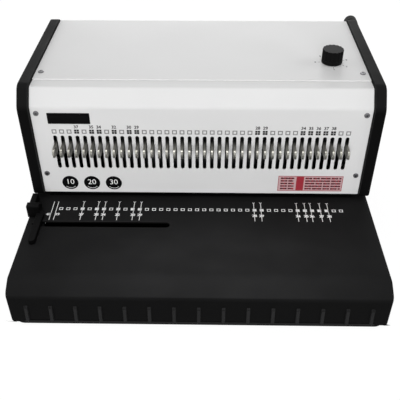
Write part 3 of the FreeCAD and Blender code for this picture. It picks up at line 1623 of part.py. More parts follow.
def size_dial():
    spot = ("dial_x", "face + dial_y")
    foot = "housing_top + sheet + knob_gap / 2"
    span = above(foot, foot + " + dial_height")
    knob = rod("dial_blank", "Z", spot, "dial_radius", span)
    flutes = []
    for index in range(int(number("dial_flutes"))):
        angle = "360 / dial_flutes * %d" % index
        place = (
            "dial_x + (dial_radius + dial_flute_out) * cos(%s)" % angle,
            "face + dial_y + (dial_radius + dial_flute_out) * sin(%s)" % angle,
        )
        flute_span = (span[0] + " + knob_skirt", span[1] + " + 1")
        flutes.append(rod("dial_flute_%d" % index, "Z", place, "dial_flute", flute_span))
    bore = rod("dial_bore", "Z", spot, "spindle_radius", (span[0], span[0] + " + dial_height / 2"))
    keep("size_dial", cut("dial_cut", knob, flutes + [bore]))

    centre = FreeCAD.Vector(number("dial_x"), number("face + dial_y"), number("deck + snail_low"))
    turn = math.radians(number("dial_turn"))
    large = number("snail_large")
    small = number("snail_small")
    steps = 24
    points = []
    for step in range(steps + 1):
        # The radius under the slide's nose shrinks evenly as the dial turns.
        angle = math.pi / 2 - turn * step / steps
        radius = large + (small - large) * step / steps
        points.append(centre + FreeCAD.Vector(math.cos(angle), math.sin(angle), 0) * radius)
    spiral = Part.BSplineCurve()
    spiral.interpolate(points)
    # The step from the smallest radius back to the largest leaves a short flat at rest.
    after = centre + FreeCAD.Vector(-large * 0.35, large * 0.92, 0)
    edges = [
        spiral.toShape(),
        Part.LineSegment(points[-1], after).toShape(),
        Part.LineSegment(after, points[0]).toShape(),
    ]
    face = Part.Face(Part.Wire(edges))
    snail = face.extrude(FreeCAD.Vector(0, 0, number("snail_thick")))
    top = number("deck + %s + dial_height / 2" % foot)
    spindle = Part.makeCylinder(number("spindle_radius"), top - centre.z, centre)
    keep("dial_spindle", made("spindle", snail.fuse(spindle).removeSplitter()))


def stop_slide():
    height = above("snail_low", "snail_low + snail_thick")
    nose_y = "dial_y + snail_large + snail_gap + nose_radius"
    strip = block(
        "slide_strip",
        ("dial_x - slide_width / 2", "dial_x + slide_width / 2"),
        behind(nose_y, "slide_end"),
        height,
    )
    nose = rod("slide_nose", "Z", ("dial_x", "face + " + nose_y), "nose_radius", height)
    keep("stop_slide", fuse("slide_solid", [strip, nose]))
    hanger = block(
        "bracket_blank",
        ("dial_x - slide_width / 2 - bracket_wall", "dial_x + slide_width / 2 + bracket_wall"),
        behind("bracket_front", "bracket_rear"),
        above("snail_low - bracket_wall", "housing_top"),
    )
    channel = block(
        "bracket_channel",
        (
            "dial_x - slide_width / 2 - slide_play",
            "dial_x + slide_width / 2 + slide_play",
        ),
        behind("bracket_front - 1", "bracket_rear + 1"),
        above("snail_low - slide_play", "snail_low + snail_thick + slide_play"),
    )
    keep("slide_bracket", cut("bracket_cut", hanger, [channel]))


# ---------------------------------------------------------------- edge guide


def edge_guide():
    fence = prism(
        "fence",
        "YZ",
        [
            yz("-fence_step", "seat_gap"),
            yz("-fence_step", "fence_low"),
            yz("-fence_crest", "fence_high"),
            yz("-fence_front", "fence_high"),
            yz("-fence_front", "seat_gap"),
        ],
        ("-half", "-half + fence_width"),
        [((1, 2, 3), "side_round / 2")],
    )
    tail = prism(
        "fence_tail",
        "YZ",
        [
            yz("-tail_rear", "seat_gap"),
            yz("-tail_rear", "fence_low"),
            yz("-fence_step - 1", "fence_low"),
            yz("-fence_step - 1", "seat_gap"),
        ],
        ("-half", "-half + tail_width"),
        [((1,), "side_round / 2")],
    )
    arm_radius = "(arm_left - arm_right) / 2"
    middle = "-(arm_left + arm_right) / 2"
    arm = rounded_slot(
        "guide_arm",
        "XY",
        (middle, "face - arm_reach + " + arm_radius),
        (middle, "face - fence_front + " + arm_radius),
        arm_radius,
        above("seat_gap", "arm_high"),
    )
    half_stem = "(track_width / 2 - stem_gap)"
    stem = rounded_slot(
        "guide_stem",
        "XY",
        ("-stem_x - stem_length / 2 + " + half_stem, "face - track_y"),
        ("-stem_x + stem_length / 2 - %s + 0.2" % half_stem, "face - track_y"),
        half_stem,
        above("-base_wall - seat_gap", "seat_gap + 1"),
    )
    keep("edge_guide", fuse("guide_solid", [fence, tail, arm, stem]))
    top = "-base_wall - seat_gap"
    clamp = block(
        "clamp",
        ("-stem_x - clamp_half_x", "-stem_x + clamp_half_x"),
        ("face - track_y - clamp_half_y", "face - track_y + clamp_half_y"),
        above(top + " - clamp_thick", top),
    )
    keep("guide_clamp", clamp)


# ---------------------------------------------------------------- rear fittings


def rear_fitting(name, x, width, height, depth):
    """A flanged body let into the rear wall of the base."""

    def across(middle, size, lip):
        half_size = "((%s) / 2 + %s)" % (size, lip)
        return ("%s - %s" % (middle, half_size), "%s + %s" % (middle, half_size))

    middle_z = "(deck - fitting_z)"
    flange = block(
        name + "_flange",
        across("-(%s)" % x, width, "flange_lip"),
        ("rear", "rear + flange"),
        across(middle_z, height, "flange_lip"),
    )
    inner = block(
        name + "_inner",
        across("-(%s)" % x, width, "0"),
        ("rear - (%s)" % depth, "rear"),
        across(middle_z, height, "0"),
    )
    cavity = block(
        name + "_cavity",
        across("-(%s)" % x, width, "-fitting_wall"),
        ("rear - (%s) + fitting_floor" % depth, "rear + flange + 1"),
        across(middle_z, height, "-fitting_wall"),
    )
    return cut(name + "_shell", fuse(name + "_blank", [flange, inner]), [cavity])


def power_inlet():
    shell = rear_fitting("inlet", "inlet_x", "inlet_width", "inlet_height", "inlet_depth")
    level = "-fitting_z + blade_rise"
    spots = [
        ("-inlet_x - blade_spread", level),
        ("-inlet_x + blade_spread", level),
        ("-inlet_x", level + " + blade_step"),
    ]
    blades = []
    for x, z in spots:
        blades.append(
            block(
                "blade_%d" % len(blades),
                ("%s - blade_thick / 2" % x, "%s + blade_thick / 2" % x),
                ("rear - inlet_depth + fitting_floor / 2", "rear - blade_sunk"),
                above("%s - blade_high / 2" % z, "%s + blade_high / 2" % z),
            )
        )
    keep("power_inlet", fuse("inlet_solid", [shell] + blades))


def power_switch():
    shell = rear_fitting("switch", "switch_x", "switch_width", "switch_height", "switch_depth")
    axis = ("rear - pivot_sunk", "deck - fitting_z")
    half_pin = "switch_width / 2 - fitting_wall / 2"
    span = ("-switch_x - %s" % half_pin, "-switch_x + %s" % half_pin)
    pivot = rod("switch_pivot", "X", axis, "pivot_radius", span)
    keep("switch_frame", fuse("switch_solid", [shell, pivot]))
    # The rocker is a shallow V about its pivot, tilted to one side at rest.
    half_x = number("switch_width / 2 - fitting_wall - rocker_gap")
    reach = number("switch_height / 2 - fitting_wall - rocker_swing")
    back, shoulder, crest, valley = (
        number(name) for name in ("rocker_back", "rocker_shoulder", "rocker_crest", "rocker_valley")
    )
    corners = [
        (-back, -reach / 2),
        (shoulder, -reach),
        (crest, -reach),
        (valley, 0),
        (crest, reach),
        (shoulder, reach),
        (-back, reach / 2),
    ]
    middle = FreeCAD.Vector(number("-switch_x") - half_x, number(axis[0]), number(axis[1]))
    points = [middle + FreeCAD.Vector(0, y, z) for y, z in corners]
    outline = Part.makePolygon(points + [points[0]])
    along = FreeCAD.Vector(1, 0, 0)
    rocker = Part.Face(outline).extrude(along * (2 * half_x))
    bore = number("pivot_radius + shaft_play")
    rocker = rocker.cut(Part.makeCylinder(bore, 2 * half_x, middle, along))
    rocker.rotate(middle, along, number("rocker_tilt"))
    keep("rocker", made("rocker_solid", rocker))


def pedal_socket():
    axis = ("-socket_x", "deck - fitting_z")
    nut = rod("socket_nut", "Y", axis, "socket_radius + socket_lip", ("rear", "rear + flange"))
    body = rod("socket_body", "Y", axis, "socket_radius", ("rear - socket_depth", "rear + 1"))
    span = ("rear - socket_depth + fitting_floor", "rear + flange + 1")
    bore = rod("socket_bore_cut", "Y", axis, "socket_bore", span)
    keep("pedal_socket", cut("socket_cut", fuse("socket_blank", [nut, body]), [bore]))


def control_board():
    low = "plate_top + board_rise"
    board = block(
        "board",
        wide("board_half"),
        behind("board_front", "board_rear"),
        (low, low + " + board_thick"),
    )
    pieces = [board]
    for x in ("-board_half + board_corner", "board_half - board_corner"):
        for y in ("board_front + board_corner", "board_rear - board_corner"):
            span = ("plate_top", low + " + board_thick / 2")
            spot = (x, "face + " + y)
            pieces.append(rod("standoff_%d" % len(pieces), "Z", spot, "standoff_radius", span))
    # Each block part: middle right of the board's middle, front edge behind the board's own,
    # then length, depth and height above the board.
    parts = {
        "transformer": (-45, 14, 34, 30, 22),
        "relay": (0, 17, 20, 16, 15),
        "heat_sink": (45, 23, 12, 44, 20),
    }
    for name, (x, y, length, depth, height) in parts.items():
        pieces.append(
            block(
                name,
                ("%g - %g / 2" % (x, length), "%g + %g / 2" % (x, length)),
                behind("board_front + %g" % y, "board_front + %g + %g" % (y, depth)),
                (low + " + board_thick / 2", low + " + board_thick + %g" % height),
            )
        )
    for step in ("-can_step / 2", "can_step / 2"):
        spot = ("can_x + " + step, "face + board_front + can_y")
        span = (low + " + board_thick / 2", low + " + board_thick + can_height")
        pieces.append(rod("capacitor_%d" % len(pieces), "Z", spot, "can_radius", span))
    keep("control_board", fuse("board_solid", pieces))


def cover_screws():
    screws = []

    def screw(axis, spot, surface, outward):
        name = "screw_%d" % len(screws)
        if outward < 0:
            head = ("%s - head_height" % surface, surface)
            shank = ("%s - head_height / 2" % surface, "%s + screw_length" % surface)
        else:
            head = (surface, "%s + head_height" % surface)
            shank = ("%s - screw_length" % surface, "%s + head_height / 2" % surface)
        top = rod(name + "_head", axis, spot, "head_radius", head)
        stem = rod(name + "_shank", axis, spot, "screw_radius", shank)
        screws.append(fuse(name, [top, stem]))

    for side in ("-", ""):
        for height in ("screw_low", "screw_high"):
            screw("Y", (side + "screw_x", "deck + " + height), "face", -1)
        screw("Z", (side + "screw_x", "face + screw_top_y"), "deck + housing_top + sheet", 1)
    keep("cover_screws", group("screw_group", screws))


def build():
    base_cover()
    bottom_plate()
    rubber_feet()
    chip_drawer()
    front_panel()
    top_cover()
    rear_cover()
    cheek("left_side_panel", "-", ("margin_y", "margin_z", "margin_radius + stop_play"))
    cheek("right_side_panel", "", ("closer_y", "closer_z", "closer_radius + stop_play"))
    side_frame("left_side_frame", "-", "margin")
    side_frame("right_side_frame", "", "drawer")
    tie_rods()
    die_set()
    paper_stop()
    margin_control()
    punch_beam()
    punch_pins()
    release_pins()
    beam_fittings()
    springs()
    cam_drive()
    motor_unit()
    wire_closer()
    doc.recompute()
    closing_lever()
    size_dial()
    stop_slide()
    edge_guide()
    power_inlet()
    power_switch()
    pedal_socket()
    control_board()
    cover_screws()
    doc.recompute()


def check():
    """Stop if any object failed or any piece is empty or broken."""
    for thing in doc.Objects:
        if any(word in thing.State for word in ("Invalid", "Error")):
            raise RuntimeError(thing.Name + " failed: " + str(thing.State))
    for thing in NODES:
        shape = thing.Shape
        if shape.isNull() or not shape.isValid() or not shape.Solids:
            raise RuntimeError(thing.Label + " has no sound shape")


def write():
    os.makedirs("parts", exist_ok=True)
    for thing in NODES:
        thing.Shape.exportStep(os.path.join("parts", thing.Label + ".step"))
        print("%-24s %3d solids %10.1f mm3" % (thing.Label, len(thing.Shape.Solids), thing.Shape.Volume))


build()
check()
write()
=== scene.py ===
"""Finishes, marks and fine pieces of an electric paper punch and wire binder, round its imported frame."""
import json
import math

import bmesh
import bpy
from mathutils import Euler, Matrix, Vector


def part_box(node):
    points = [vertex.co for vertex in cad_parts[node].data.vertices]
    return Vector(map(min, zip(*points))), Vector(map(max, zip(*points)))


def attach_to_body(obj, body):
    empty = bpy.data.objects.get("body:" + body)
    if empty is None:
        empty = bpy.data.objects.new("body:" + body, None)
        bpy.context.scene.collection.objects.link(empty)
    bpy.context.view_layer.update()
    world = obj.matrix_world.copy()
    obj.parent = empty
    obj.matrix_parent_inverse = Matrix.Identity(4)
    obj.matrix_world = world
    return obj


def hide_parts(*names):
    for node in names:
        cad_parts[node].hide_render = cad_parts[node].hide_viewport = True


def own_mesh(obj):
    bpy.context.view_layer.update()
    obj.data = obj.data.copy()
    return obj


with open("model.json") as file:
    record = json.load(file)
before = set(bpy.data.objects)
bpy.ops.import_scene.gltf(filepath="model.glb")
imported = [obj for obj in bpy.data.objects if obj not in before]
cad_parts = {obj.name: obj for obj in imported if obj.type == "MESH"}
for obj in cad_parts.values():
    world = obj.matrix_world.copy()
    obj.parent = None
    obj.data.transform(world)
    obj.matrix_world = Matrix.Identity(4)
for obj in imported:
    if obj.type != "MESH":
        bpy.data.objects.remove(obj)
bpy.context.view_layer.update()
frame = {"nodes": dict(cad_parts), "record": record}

bl_info = {
    "name": "Wire Binding Machine",
    "version": (1, 0, 0),
    "blender": (4, 5, 0),
    "location": "View3D > Sidebar > Binder",
    "description": "Finishes and fine pieces for an electric paper punch and wire binder",
    "category": "Object",
}

MM = 0.001

# Body of each node, the nodes of release pins, and the travel of each sliding joint
BEHAVIOUR = frame["record"]["behaviour"]
BODY = {node: body for body, nodes in BEHAVIOUR["bodies"].items() for node in nodes}
PIN_GROUPS = sorted(node for node in BODY if node.startswith("release_pins"))
TRAVEL = {joint["name"]: joint["range_m"][1] for joint in BEHAVIOUR["joints"] if "range_m" in joint}

# Panel's face, paper deck, top sheet, rear wall and left cheek
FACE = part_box("front_panel")[0].y
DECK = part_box("base_cover")[1].z
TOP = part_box("top_cover")[1].z
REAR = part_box("base_cover")[1].y
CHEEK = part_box("left_side_panel")[0].x


# Sizes and colours that a user would change


def length(name, description, millimetres):
    return bpy.props.FloatProperty(
        name=name, description=description, default=millimetres * MM, unit="LENGTH", precision=5
    )


def colour(name, description, shade):
    return bpy.props.FloatVectorProperty(
        name=name, description=description, default=shade, subtype="COLOR", size=3, min=0, max=1
    )


class BinderSizes(bpy.types.PropertyGroup):
    """Sizes of the marks, labels and fine pieces."""

    holes: bpy.props.IntProperty(name="Holes", description="Punches in the row", default=40, min=1)
    pitch: length("Hole pitch", "From one punch to the next", 25.4 / 3)
    ink: length("Ink", "Thickness of printed marks", 0.06)
    square: length("Deck square", "Side of a hole mark on the deck", 4.5)
    square_line: length("Deck line", "Line of a hole mark on the deck", 0.8)
    square_row: length("Deck row", "Row of hole marks before the panel", 25.3)
    size_line: length("Size line", "Width of a paper size line", 0.7)
    box_mark: length("Panel square", "Side of a hole mark on the panel", 5.4)
    box_row: length("Panel row", "Row of hole marks above the deck", 91.3)
    badge: length("Badge", "Radius of a round badge", 9.6)
    edge: length("Moulded edge", "Rounding of moulded edges", 0.6)
    sheet_edge: length("Sheet edge", "Rounding of cut sheet edges", 0.25)


class BinderColours(bpy.types.PropertyGroup):
    """Colours of the finishes."""

    moulding: colour("Moulding", "Black moulded plastic", (0.0050, 0.0050, 0.0051))
    sheet: colour("Sheet", "Pale painted steel", (0.70, 0.70, 0.70))
    mark: colour("White ink", "White ink of the marks and figures", (0.94, 0.94, 0.94))
    pins: colour("Release pins", "Steel of the release pins", (0.30, 0.295, 0.265))
    label: colour("Label", "Red of the blank label", (0.34, 0.030, 0.045))
    floor: colour("Floor", "Floor under the machine", (0.40, 0.40, 0.40))


def sizes():
    return bpy.context.scene.binder_sizes


def colours():
    return bpy.context.scene.binder_colours


# Finishes


class Wire:
    """A value in a material's nodes, with the usual signs of arithmetic."""

    def __init__(self, tree, socket=None):
        self.tree = tree
        self.socket = socket

    def node(self, kind, inputs, out=0, **settings):
        """Adds one node, sets it, fills or links its inputs, and returns one of its outputs."""
        made = self.tree.nodes.new(kind)
        for name, value in settings.items():
            setattr(made, name, value)
        for key, value in inputs.items():
            if isinstance(value, Wire):
                self.tree.links.new(value.socket, made.inputs[key])
            else:
                made.inputs[key].default_value = value
        return Wire(self.tree, made.outputs[out])

    def other_output(self, name):
        return Wire(self.tree, self.socket.node.outputs[name])

    def maths(self, operation, other):
        return self.node("ShaderNodeMath", {0: self, 1: other}, operation=operation)

    def __add__(self, other):
        return self.maths("ADD", other)

    def __sub__(self, other):
        return self.maths("SUBTRACT", other)

    def __mul__(self, other):
        return self.maths("MULTIPLY", other)

    __radd__ = __add__
    __rmul__ = __mul__

    def __rsub__(self, other):
        return self.node("ShaderNodeMath", {0: other, 1: self}, operation="SUBTRACT")

    def __gt__(self, other):
        return self.maths("GREATER_THAN", other)

    def __lt__(self, other):
        return self.maths("LESS_THAN", other)

    def axis(self, name):
        return self.node("ShaderNodeSeparateXYZ", {0: self}, out=name)

    def noise(self, size, detail=2.0):
        """Cloudy pattern from 0 to 1, its patches as long along X, Y and Z as size says."""
        scale = Vector(1 / part for part in size)
        place = self.node("ShaderNodeMapping", {"Vector": self, "Scale": scale})
        return place.node("ShaderNodeTexNoise", {"Vector": place, "Scale": 1.0, "Detail": detail})

    def cells(self, size):
        """Random grey for each crystal of a plated surface."""
        crystals = self.node("ShaderNodeTexVoronoi", {"Vector": self, "Scale": 1 / size}, out="Color")
        return crystals.node("ShaderNodeRGBToBW", {0: crystals})

    def spread(self, low, high):
        """Stretches the middle of a noise, so that it fills low to high."""
        inputs = {"Value": self, "From Min": 0.35, "From Max": 0.65, "To Min": low, "To Max": high}
        return self.node("ShaderNodeMapRange", inputs)

    def shades(self, dark, light):
        """Colour between two, by this value."""
        ends = [end if isinstance(end, Wire) else (*end, 1) for end in (dark, light)]
        inputs = {0: self, 6: ends[0], 7: ends[1]}
        return self.node("ShaderNodeMix", inputs, out=2, data_type="RGBA")


def input_name(key):
    """Name of a shader's input, such as Base Color from base_color."""
    return key.replace("_", " ").title().replace("Ior", "IOR")


class Finish:
    """One material with a principled shader, and the place that its pattern reads."""

    def __init__(self, name, **constants):
        self.material = bpy.data.materials.new(name)
        self.material.use_nodes = True
        tree = self.material.node_tree
        self.shader = tree.nodes["Principled BSDF"]
        for key, value in constants.items():
            self.shader.inputs[input_name(key)].default_value = value
        self.place = Wire(tree).node("ShaderNodeTexCoord", {}, out="Object")

    def upward(self):
        """1 where the surface faces up, and 0 where it is upright."""
        facing_out = self.place.node("ShaderNodeNewGeometry", {}, out="Normal")
        inputs = {"Value": facing_out.axis("Z"), "From Min": 0.1, "From Max": 0.6}
        return facing_out.node("ShaderNodeMapRange", inputs)

    def feed(self, **values):
        for key, value in values.items():
            self.place.tree.links.new(value.socket, self.shader.inputs[input_name(key)])
        return self

    def bump(self, height, depth):
        """Raises the surface where height is 1, by depth in metres."""
        made = height.node("ShaderNodeBump", {"Height": height, "Distance": depth, "Strength": 1.0})
        return self.feed(normal=made)


def scaled(shade, by):
    return tuple(min(1.0, part * by) for part in shade)


def paper_rub(place):
    """1 in the middle of the deck and its nose, fading to 0 at the sides: where the painted sheen of the
    light from above is brightest.
    """
    middle = Vector((10 * MM, FACE - 108 * MM, 0))
    half_wide, half_deep = 205 * MM, 88 * MM
    scale = Vector((1 / half_wide, 1 / half_deep, 0))
    shift = Vector(-part * by for part, by in zip(middle, scale))
    at = place.node("ShaderNodeMapping", {"Vector": place, "Location": shift, "Scale": scale})
    away = at.node("ShaderNodeVectorMath", {0: at}, out="Value", operation="LENGTH")
    inputs = {"Value": away, "From Min": 0.1, "From Max": 1.1, "To Min": 1.0, "To Max": 0.0}
    return away.node("ShaderNodeMapRange", inputs, interpolation_type="SMOOTHSTEP")


def moulding(name="black_moulding", lift=1.0, sheen=0.0, painted_highlight=False):
    """Black moulded plastic with a fine spark-eroded grain, painted lighter on its upper faces as a
    painted sheen of the light from above.
    """
    finish = Finish(name, specular_ior_level=0.03)
    grain = finish.place.noise((0.45 * MM,) * 3, detail=3)
    cloud = finish.place.noise((55 * MM, 38 * MM, 38 * MM))
    base = scaled(colours().moulding, lift)
    tone = (0.6 * grain + 0.4 * cloud).spread(0, 1)
    grain_tone = tone.shades(scaled(base, 0.8), scaled(base, 1.25))
    bloom_and_sheen = scaled(base, 3.2)
    # On the deck the painted sheen of the upper faces is brightest in the middle and fades to the sides.
    if painted_highlight:
        bloom_and_sheen = paper_rub(finish.place).shades(scaled(base, 2.2), scaled(base, 4.9))
    # Upward faces are painted lighter: a painted sheen of the light from above.
    painted_top_sheen = finish.upward() * cloud.spread(0.75, 1.0)
    finish.feed(base_color=painted_top_sheen.shades(grain_tone, bloom_and_sheen))
    finish.feed(roughness=(0.50 - sheen) + cloud.spread(0.0, 0.10))
    return finish.bump(grain, 0.05 * MM).material


def sheet_paint(name="pale_sheet", lift=1.0):
    """Pale powder paint on sheet steel, with a faint orange peel."""
    finish = Finish(name, specular_ior_level=0.12)
    peel = finish.place.noise((1.6 * MM,) * 3, detail=1)
    cloud = finish.place.noise((90 * MM, 60 * MM, 60 * MM))
    base = scaled(colours().sheet, lift)
    finish.feed(base_color=cloud.spread(0, 1).shades(scaled(base, 0.975), base))
    finish.feed(roughness=cloud.spread(0.40, 0.48))
    return finish.bump(peel, 0.02 * MM).material


def black_paint():
    """Satin black paint on steel."""
    finish = Finish("black_plate", specular_ior_level=0.08)
    peel = finish.place.noise((0.9 * MM,) * 3)
    cloud = finish.place.noise((40 * MM,) * 3)
    base = colours().moulding
    finish.feed(base_color=cloud.spread(0, 1).shades(scaled(base, 0.85), scaled(base, 1.2)))
    finish.feed(roughness=cloud.spread(0.38, 0.50))
    return finish.bump(peel, 0.015 * MM).material


def metal(name, shade, roughness, grain, depth, tarnish=0.75):
    """Bare metal with cutting lines or grain of the given size, and a faint tarnish."""
    finish = Finish(name, metallic=1.0)
    lines = finish.place.noise(grain, detail=3)
    cloud = finish.place.noise((24 * MM,) * 3, detail=3)
    tone = (0.5 * lines + 0.5 * cloud).spread(0, 1)
    finish.feed(base_color=tone.shades(scaled(shade, tarnish), shade))
    finish.feed(roughness=lines.spread(roughness - 0.06, roughness + 0.08))
    return finish.bump(lines, depth).material


def plated_steel():
    """Zinc-plated sheet steel, with its faint crystal pattern."""
    finish = Finish("plated_steel", metallic=1.0)
    crystal = finish.place.cells(3.5 * MM)
    rolled = finish.place.noise((30 * MM, 0.5 * MM, 0.5 * MM))
    tone = 0.6 * crystal + 0.4 * rolled
    finish.feed(base_color=tone.shades((0.42, 0.43, 0.45), (0.60, 0.61, 0.62)))
    finish.feed(roughness=tone.spread(0.30, 0.44))
    return finish.bump(rolled, 0.008 * MM).material


def ground_steel():
    return metal("ground_steel", (0.52, 0.51, 0.49), 0.30, (30 * MM, 0.35 * MM, 0.35 * MM), 0.01 * MM)


def turned_steel():
    return metal("turned_steel", (0.50, 0.49, 0.48), 0.28, (0.4 * MM, 6 * MM, 6 * MM), 0.01 * MM)


def tool_steel():
    return metal("tool_steel", (0.21, 0.21, 0.22), 0.36, (0.4 * MM, 0.4 * MM, 8 * MM), 0.008 * MM, 0.6)


def blued_steel():
    return metal("blued_steel", (0.028, 0.028, 0.030), 0.48, (12 * MM, 0.5 * MM, 0.5 * MM), 0.01 * MM)


def screw_steel():
    return metal("screw_steel", (0.24, 0.24, 0.25), 0.42, (0.6 * MM,) * 3, 0.02 * MM, 0.6)


def spring_wire():
    return metal("spring_wire", (0.34, 0.34, 0.35), 0.34, (0.8 * MM,) * 3, 0.01 * MM)


def bearing_bronze():
    return metal("bearing_bronze", (0.50, 0.33, 0.15), 0.38, (0.5 * MM, 3 * MM, 3 * MM), 0.012 * MM)


def cast_alloy():
    return metal("cast_alloy", (0.42, 0.43, 0.44), 0.55, (0.9 * MM,) * 3, 0.06 * MM, 0.85)


def contact_brass():
    return metal("contact_brass", (0.62, 0.52, 0.32), 0.30, (3 * MM, 3 * MM, 0.5 * MM), 0.006 * MM)


def pin_steel():
    """Brownish plated steel of the release pins, smoother on their noses, where the colour is painted
    lighter as a painted highlight.
    """
    finish = Finish("pin_steel", metallic=1.0)
    lines = finish.place.noise((0.5 * MM, 8 * MM, 0.5 * MM), detail=3)
    cloud = finish.place.noise((6 * MM,) * 3, detail=3)
    nose_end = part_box(PIN_GROUPS[0])[0].y + 4.5 * MM
    # The noses are painted lighter, a painted highlight, and are smoother.
    painted_highlight = finish.place.axis("Y") + 3 * MM * cloud < nose_end
    base = colours().pins
    highlit_nose = painted_highlight.shades(scaled(base, 0.9), scaled(base, 1.9))
    finish.feed(base_color=lines.spread(0, 1).shades(scaled(base, 0.6), highlit_nose))
    finish.feed(roughness=lines.spread(0.42, 0.54) - 0.18 * painted_highlight)
    return finish.bump(lines, 0.008 * MM).material


def pale_plastic():
    """Off-white bearing plastic."""
    finish = Finish("pale_plastic", roughness=0.42)
    cloud = finish.place.noise((5 * MM,) * 3)
    finish.feed(base_color=cloud.spread(0, 1).shades((0.60, 0.59, 0.54), (0.68, 0.67, 0.62)))
    return finish.bump(cloud, 0.03 * MM).material


def rubber(name="rubber"):
    """Matt black rubber, dusty and whitish in patches."""
    finish = Finish(name, specular_ior_level=0.25)
    grain = finish.place.noise((0.7 * MM,) * 3, detail=3)
    bloom_and_sheen = finish.place.noise((9 * MM,) * 3, detail=4)
    finish.feed(base_color=bloom_and_sheen.spread(0, 1).shades((0.011, 0.011, 0.011), (0.024, 0.024, 0.023)))
    finish.feed(roughness=bloom_and_sheen.spread(0.70, 0.85))
    return finish.bump(grain, 0.05 * MM).material


def gloss_plastic():
    """Smooth black plastic of the rocker."""
    finish = Finish("gloss_plastic", coat_weight=0.3)
    smear = finish.place.noise((4 * MM,) * 3, detail=4)
    finish.feed(base_color=smear.spread(0, 1).shades((0.012, 0.012, 0.012), (0.018, 0.018, 0.018)))
    return finish.feed(roughness=smear.spread(0.14, 0.26)).material


def black_enamel():
    """Deep black enamel of the name plate and badges, finely scuffed."""
    finish = Finish("black_enamel", specular_ior_level=0.03)
    scuff = finish.place.noise((14 * MM, 0.6 * MM, 0.6 * MM), detail=3)
    finish.feed(base_color=scuff.spread(0, 1).shades((0.0022, 0.0022, 0.0024), (0.0050, 0.0050, 0.0053)))
    finish.feed(roughness=scuff.spread(0.30, 0.42))
    return finish.bump(scuff, 0.004 * MM).material


def motor_paint():
    """Dark painted steel of the motor."""
    finish = Finish("motor_paint", specular_ior_level=0.4)
    peel = finish.place.noise((1.2 * MM,) * 3)
    cloud = finish.place.noise((18 * MM,) * 3)
    finish.feed(base_color=cloud.spread(0, 1).shades((0.030, 0.032, 0.036), (0.045, 0.047, 0.052)))
    finish.feed(roughness=cloud.spread(0.34, 0.48))
    return finish.bump(peel, 0.02 * MM).material


def board_mask():
    """Green solder mask with darker copper tracks under it."""
    finish = Finish("board_mask", coat_weight=0.4)
    tracks = finish.place.node(
        "ShaderNodeTexBrick",
        {"Vector": finish.place, "Scale": 60.0, "Mortar Size": 0.03, "Brick Width": 0.9},
        out="Fac",
    )
    cloud = finish.place.noise((12 * MM,) * 3)
    finish.feed(base_color=tracks.shades((0.012, 0.075, 0.030), (0.030, 0.150, 0.060)))
    return finish.feed(roughness=cloud.spread(0.28, 0.40)).material


def ink(name, shade, roughness=0.5):
    """Screen ink, a little thin in places."""
    finish = Finish(name, specular_ior_level=0.3)
    thin = finish.place.noise((0.8 * MM,) * 3, detail=4)
    finish.feed(base_color=thin.spread(0, 1).shades(scaled(shade, 0.90), shade))
    return finish.feed(roughness=thin.spread(roughness - 0.05, roughness + 0.1)).material


MADE = {}


def once(maker, *words):
    """The material that a maker gives for these words, made the first time that it is asked for."""
    key = (maker, *words)
    if key not in MADE:
        MADE[key] = maker(*words)
    return MADE[key]


def white_ink():
    return once(ink, "white_ink", tuple(colours().mark))


def black_ink():
    return once(ink, "black_ink", (0.012, 0.012, 0.012))


def knob_moulding():
    return once(moulding, "knob_moulding", 1.0, 0.1)


# Hands: the few steps that every piece is made with


def deselect():
    bpy.ops.object.select_all(action="DESELECT")


def only(piece):
    """Selects one piece alone and makes it the active one."""
    deselect()
    piece.select_set(True)
    bpy.context.view_layer.objects.active = piece
    return piece


def settle(piece, name):
    """Names a piece, and puts its place, turn and scale into its mesh."""
    only(piece)
    bpy.ops.object.transform_apply(location=True, rotation=True, scale=True)
    piece.name = piece.data.name = name
    return piece


def pick(kind, test):
    """In edit mode, selects the faces, edges or vertices that pass a test."""
    bpy.ops.mesh.select_mode(type={"faces": "FACE", "edges": "EDGE", "verts": "VERT"}[kind])
    bpy.ops.mesh.select_all(action="DESELECT")
    mesh = bmesh.from_edit_mesh(bpy.context.edit_object.data)
    for item in getattr(mesh, kind):
        item.select_set(bool(test(item)))
    mesh.select_flush_mode()
    bmesh.update_edit_mesh(bpy.context.edit_object.data)


def pick_all():
    bpy.ops.mesh.select_all(action="SELECT")


def facing(*direction):
    return lambda face: face.normal.dot(Vector(direction)) > 0.99


def along(*direction):
    def runs(edge):
        start, end = (vert.co for vert in edge.verts)
        return abs((end - start).normalized().dot(Vector(direction))) > 0.99

    return runs


def edit(piece):
    only(piece)
    bpy.ops.object.mode_set(mode="EDIT")


def leave():
    bpy.ops.object.mode_set(mode="OBJECT")


def modify(piece, kind, **settings):
    """Adds a modifier and applies it."""
    only(piece)
    made = piece.modifiers.new(kind.title(), kind)
    for name, value in settings.items():
        setattr(made, name, value)
    bpy.ops.object.modifier_apply(modifier=made.name)
    return piece


def break_edges(piece, width, segments=2, angle=35):
    """Rounds the sharp edges. The rounded faces take the second material."""
    return modify(
        piece,
        "BEVEL",
        width=width,
        segments=segments,
        limit_method="ANGLE",
        angle_limit=math.radians(angle),
        use_clamp_overlap=False,
        harden_normals=False,
        miter_outer="MITER_ARC",
        material=len(piece.data.materials) - 1,
    )


def sink_front(rim, depth):
    """In edit mode, sinks the front face of a plate, inside a rim."""
    pick("faces", facing(0, -1, 0))
    bpy.ops.mesh.inset(thickness=rim)
    bpy.ops.mesh.extrude_region_shrink_fatten(TRANSFORM_OT_shrink_fatten={"value": -depth})


def round_corners(piece, radius):
    """Rounds the corners of a flat piece in its own plane."""
    edit(piece)
    pick_all()
    bpy.ops.mesh.bevel(offset=radius, segments=5, affect="VERTICES")
    leave()
    return piece


def thicken(piece, depth):
    """Gives a flat mark its thickness, upwards."""
    return modify(piece, "SOLIDIFY", thickness=depth, offset=1.0)


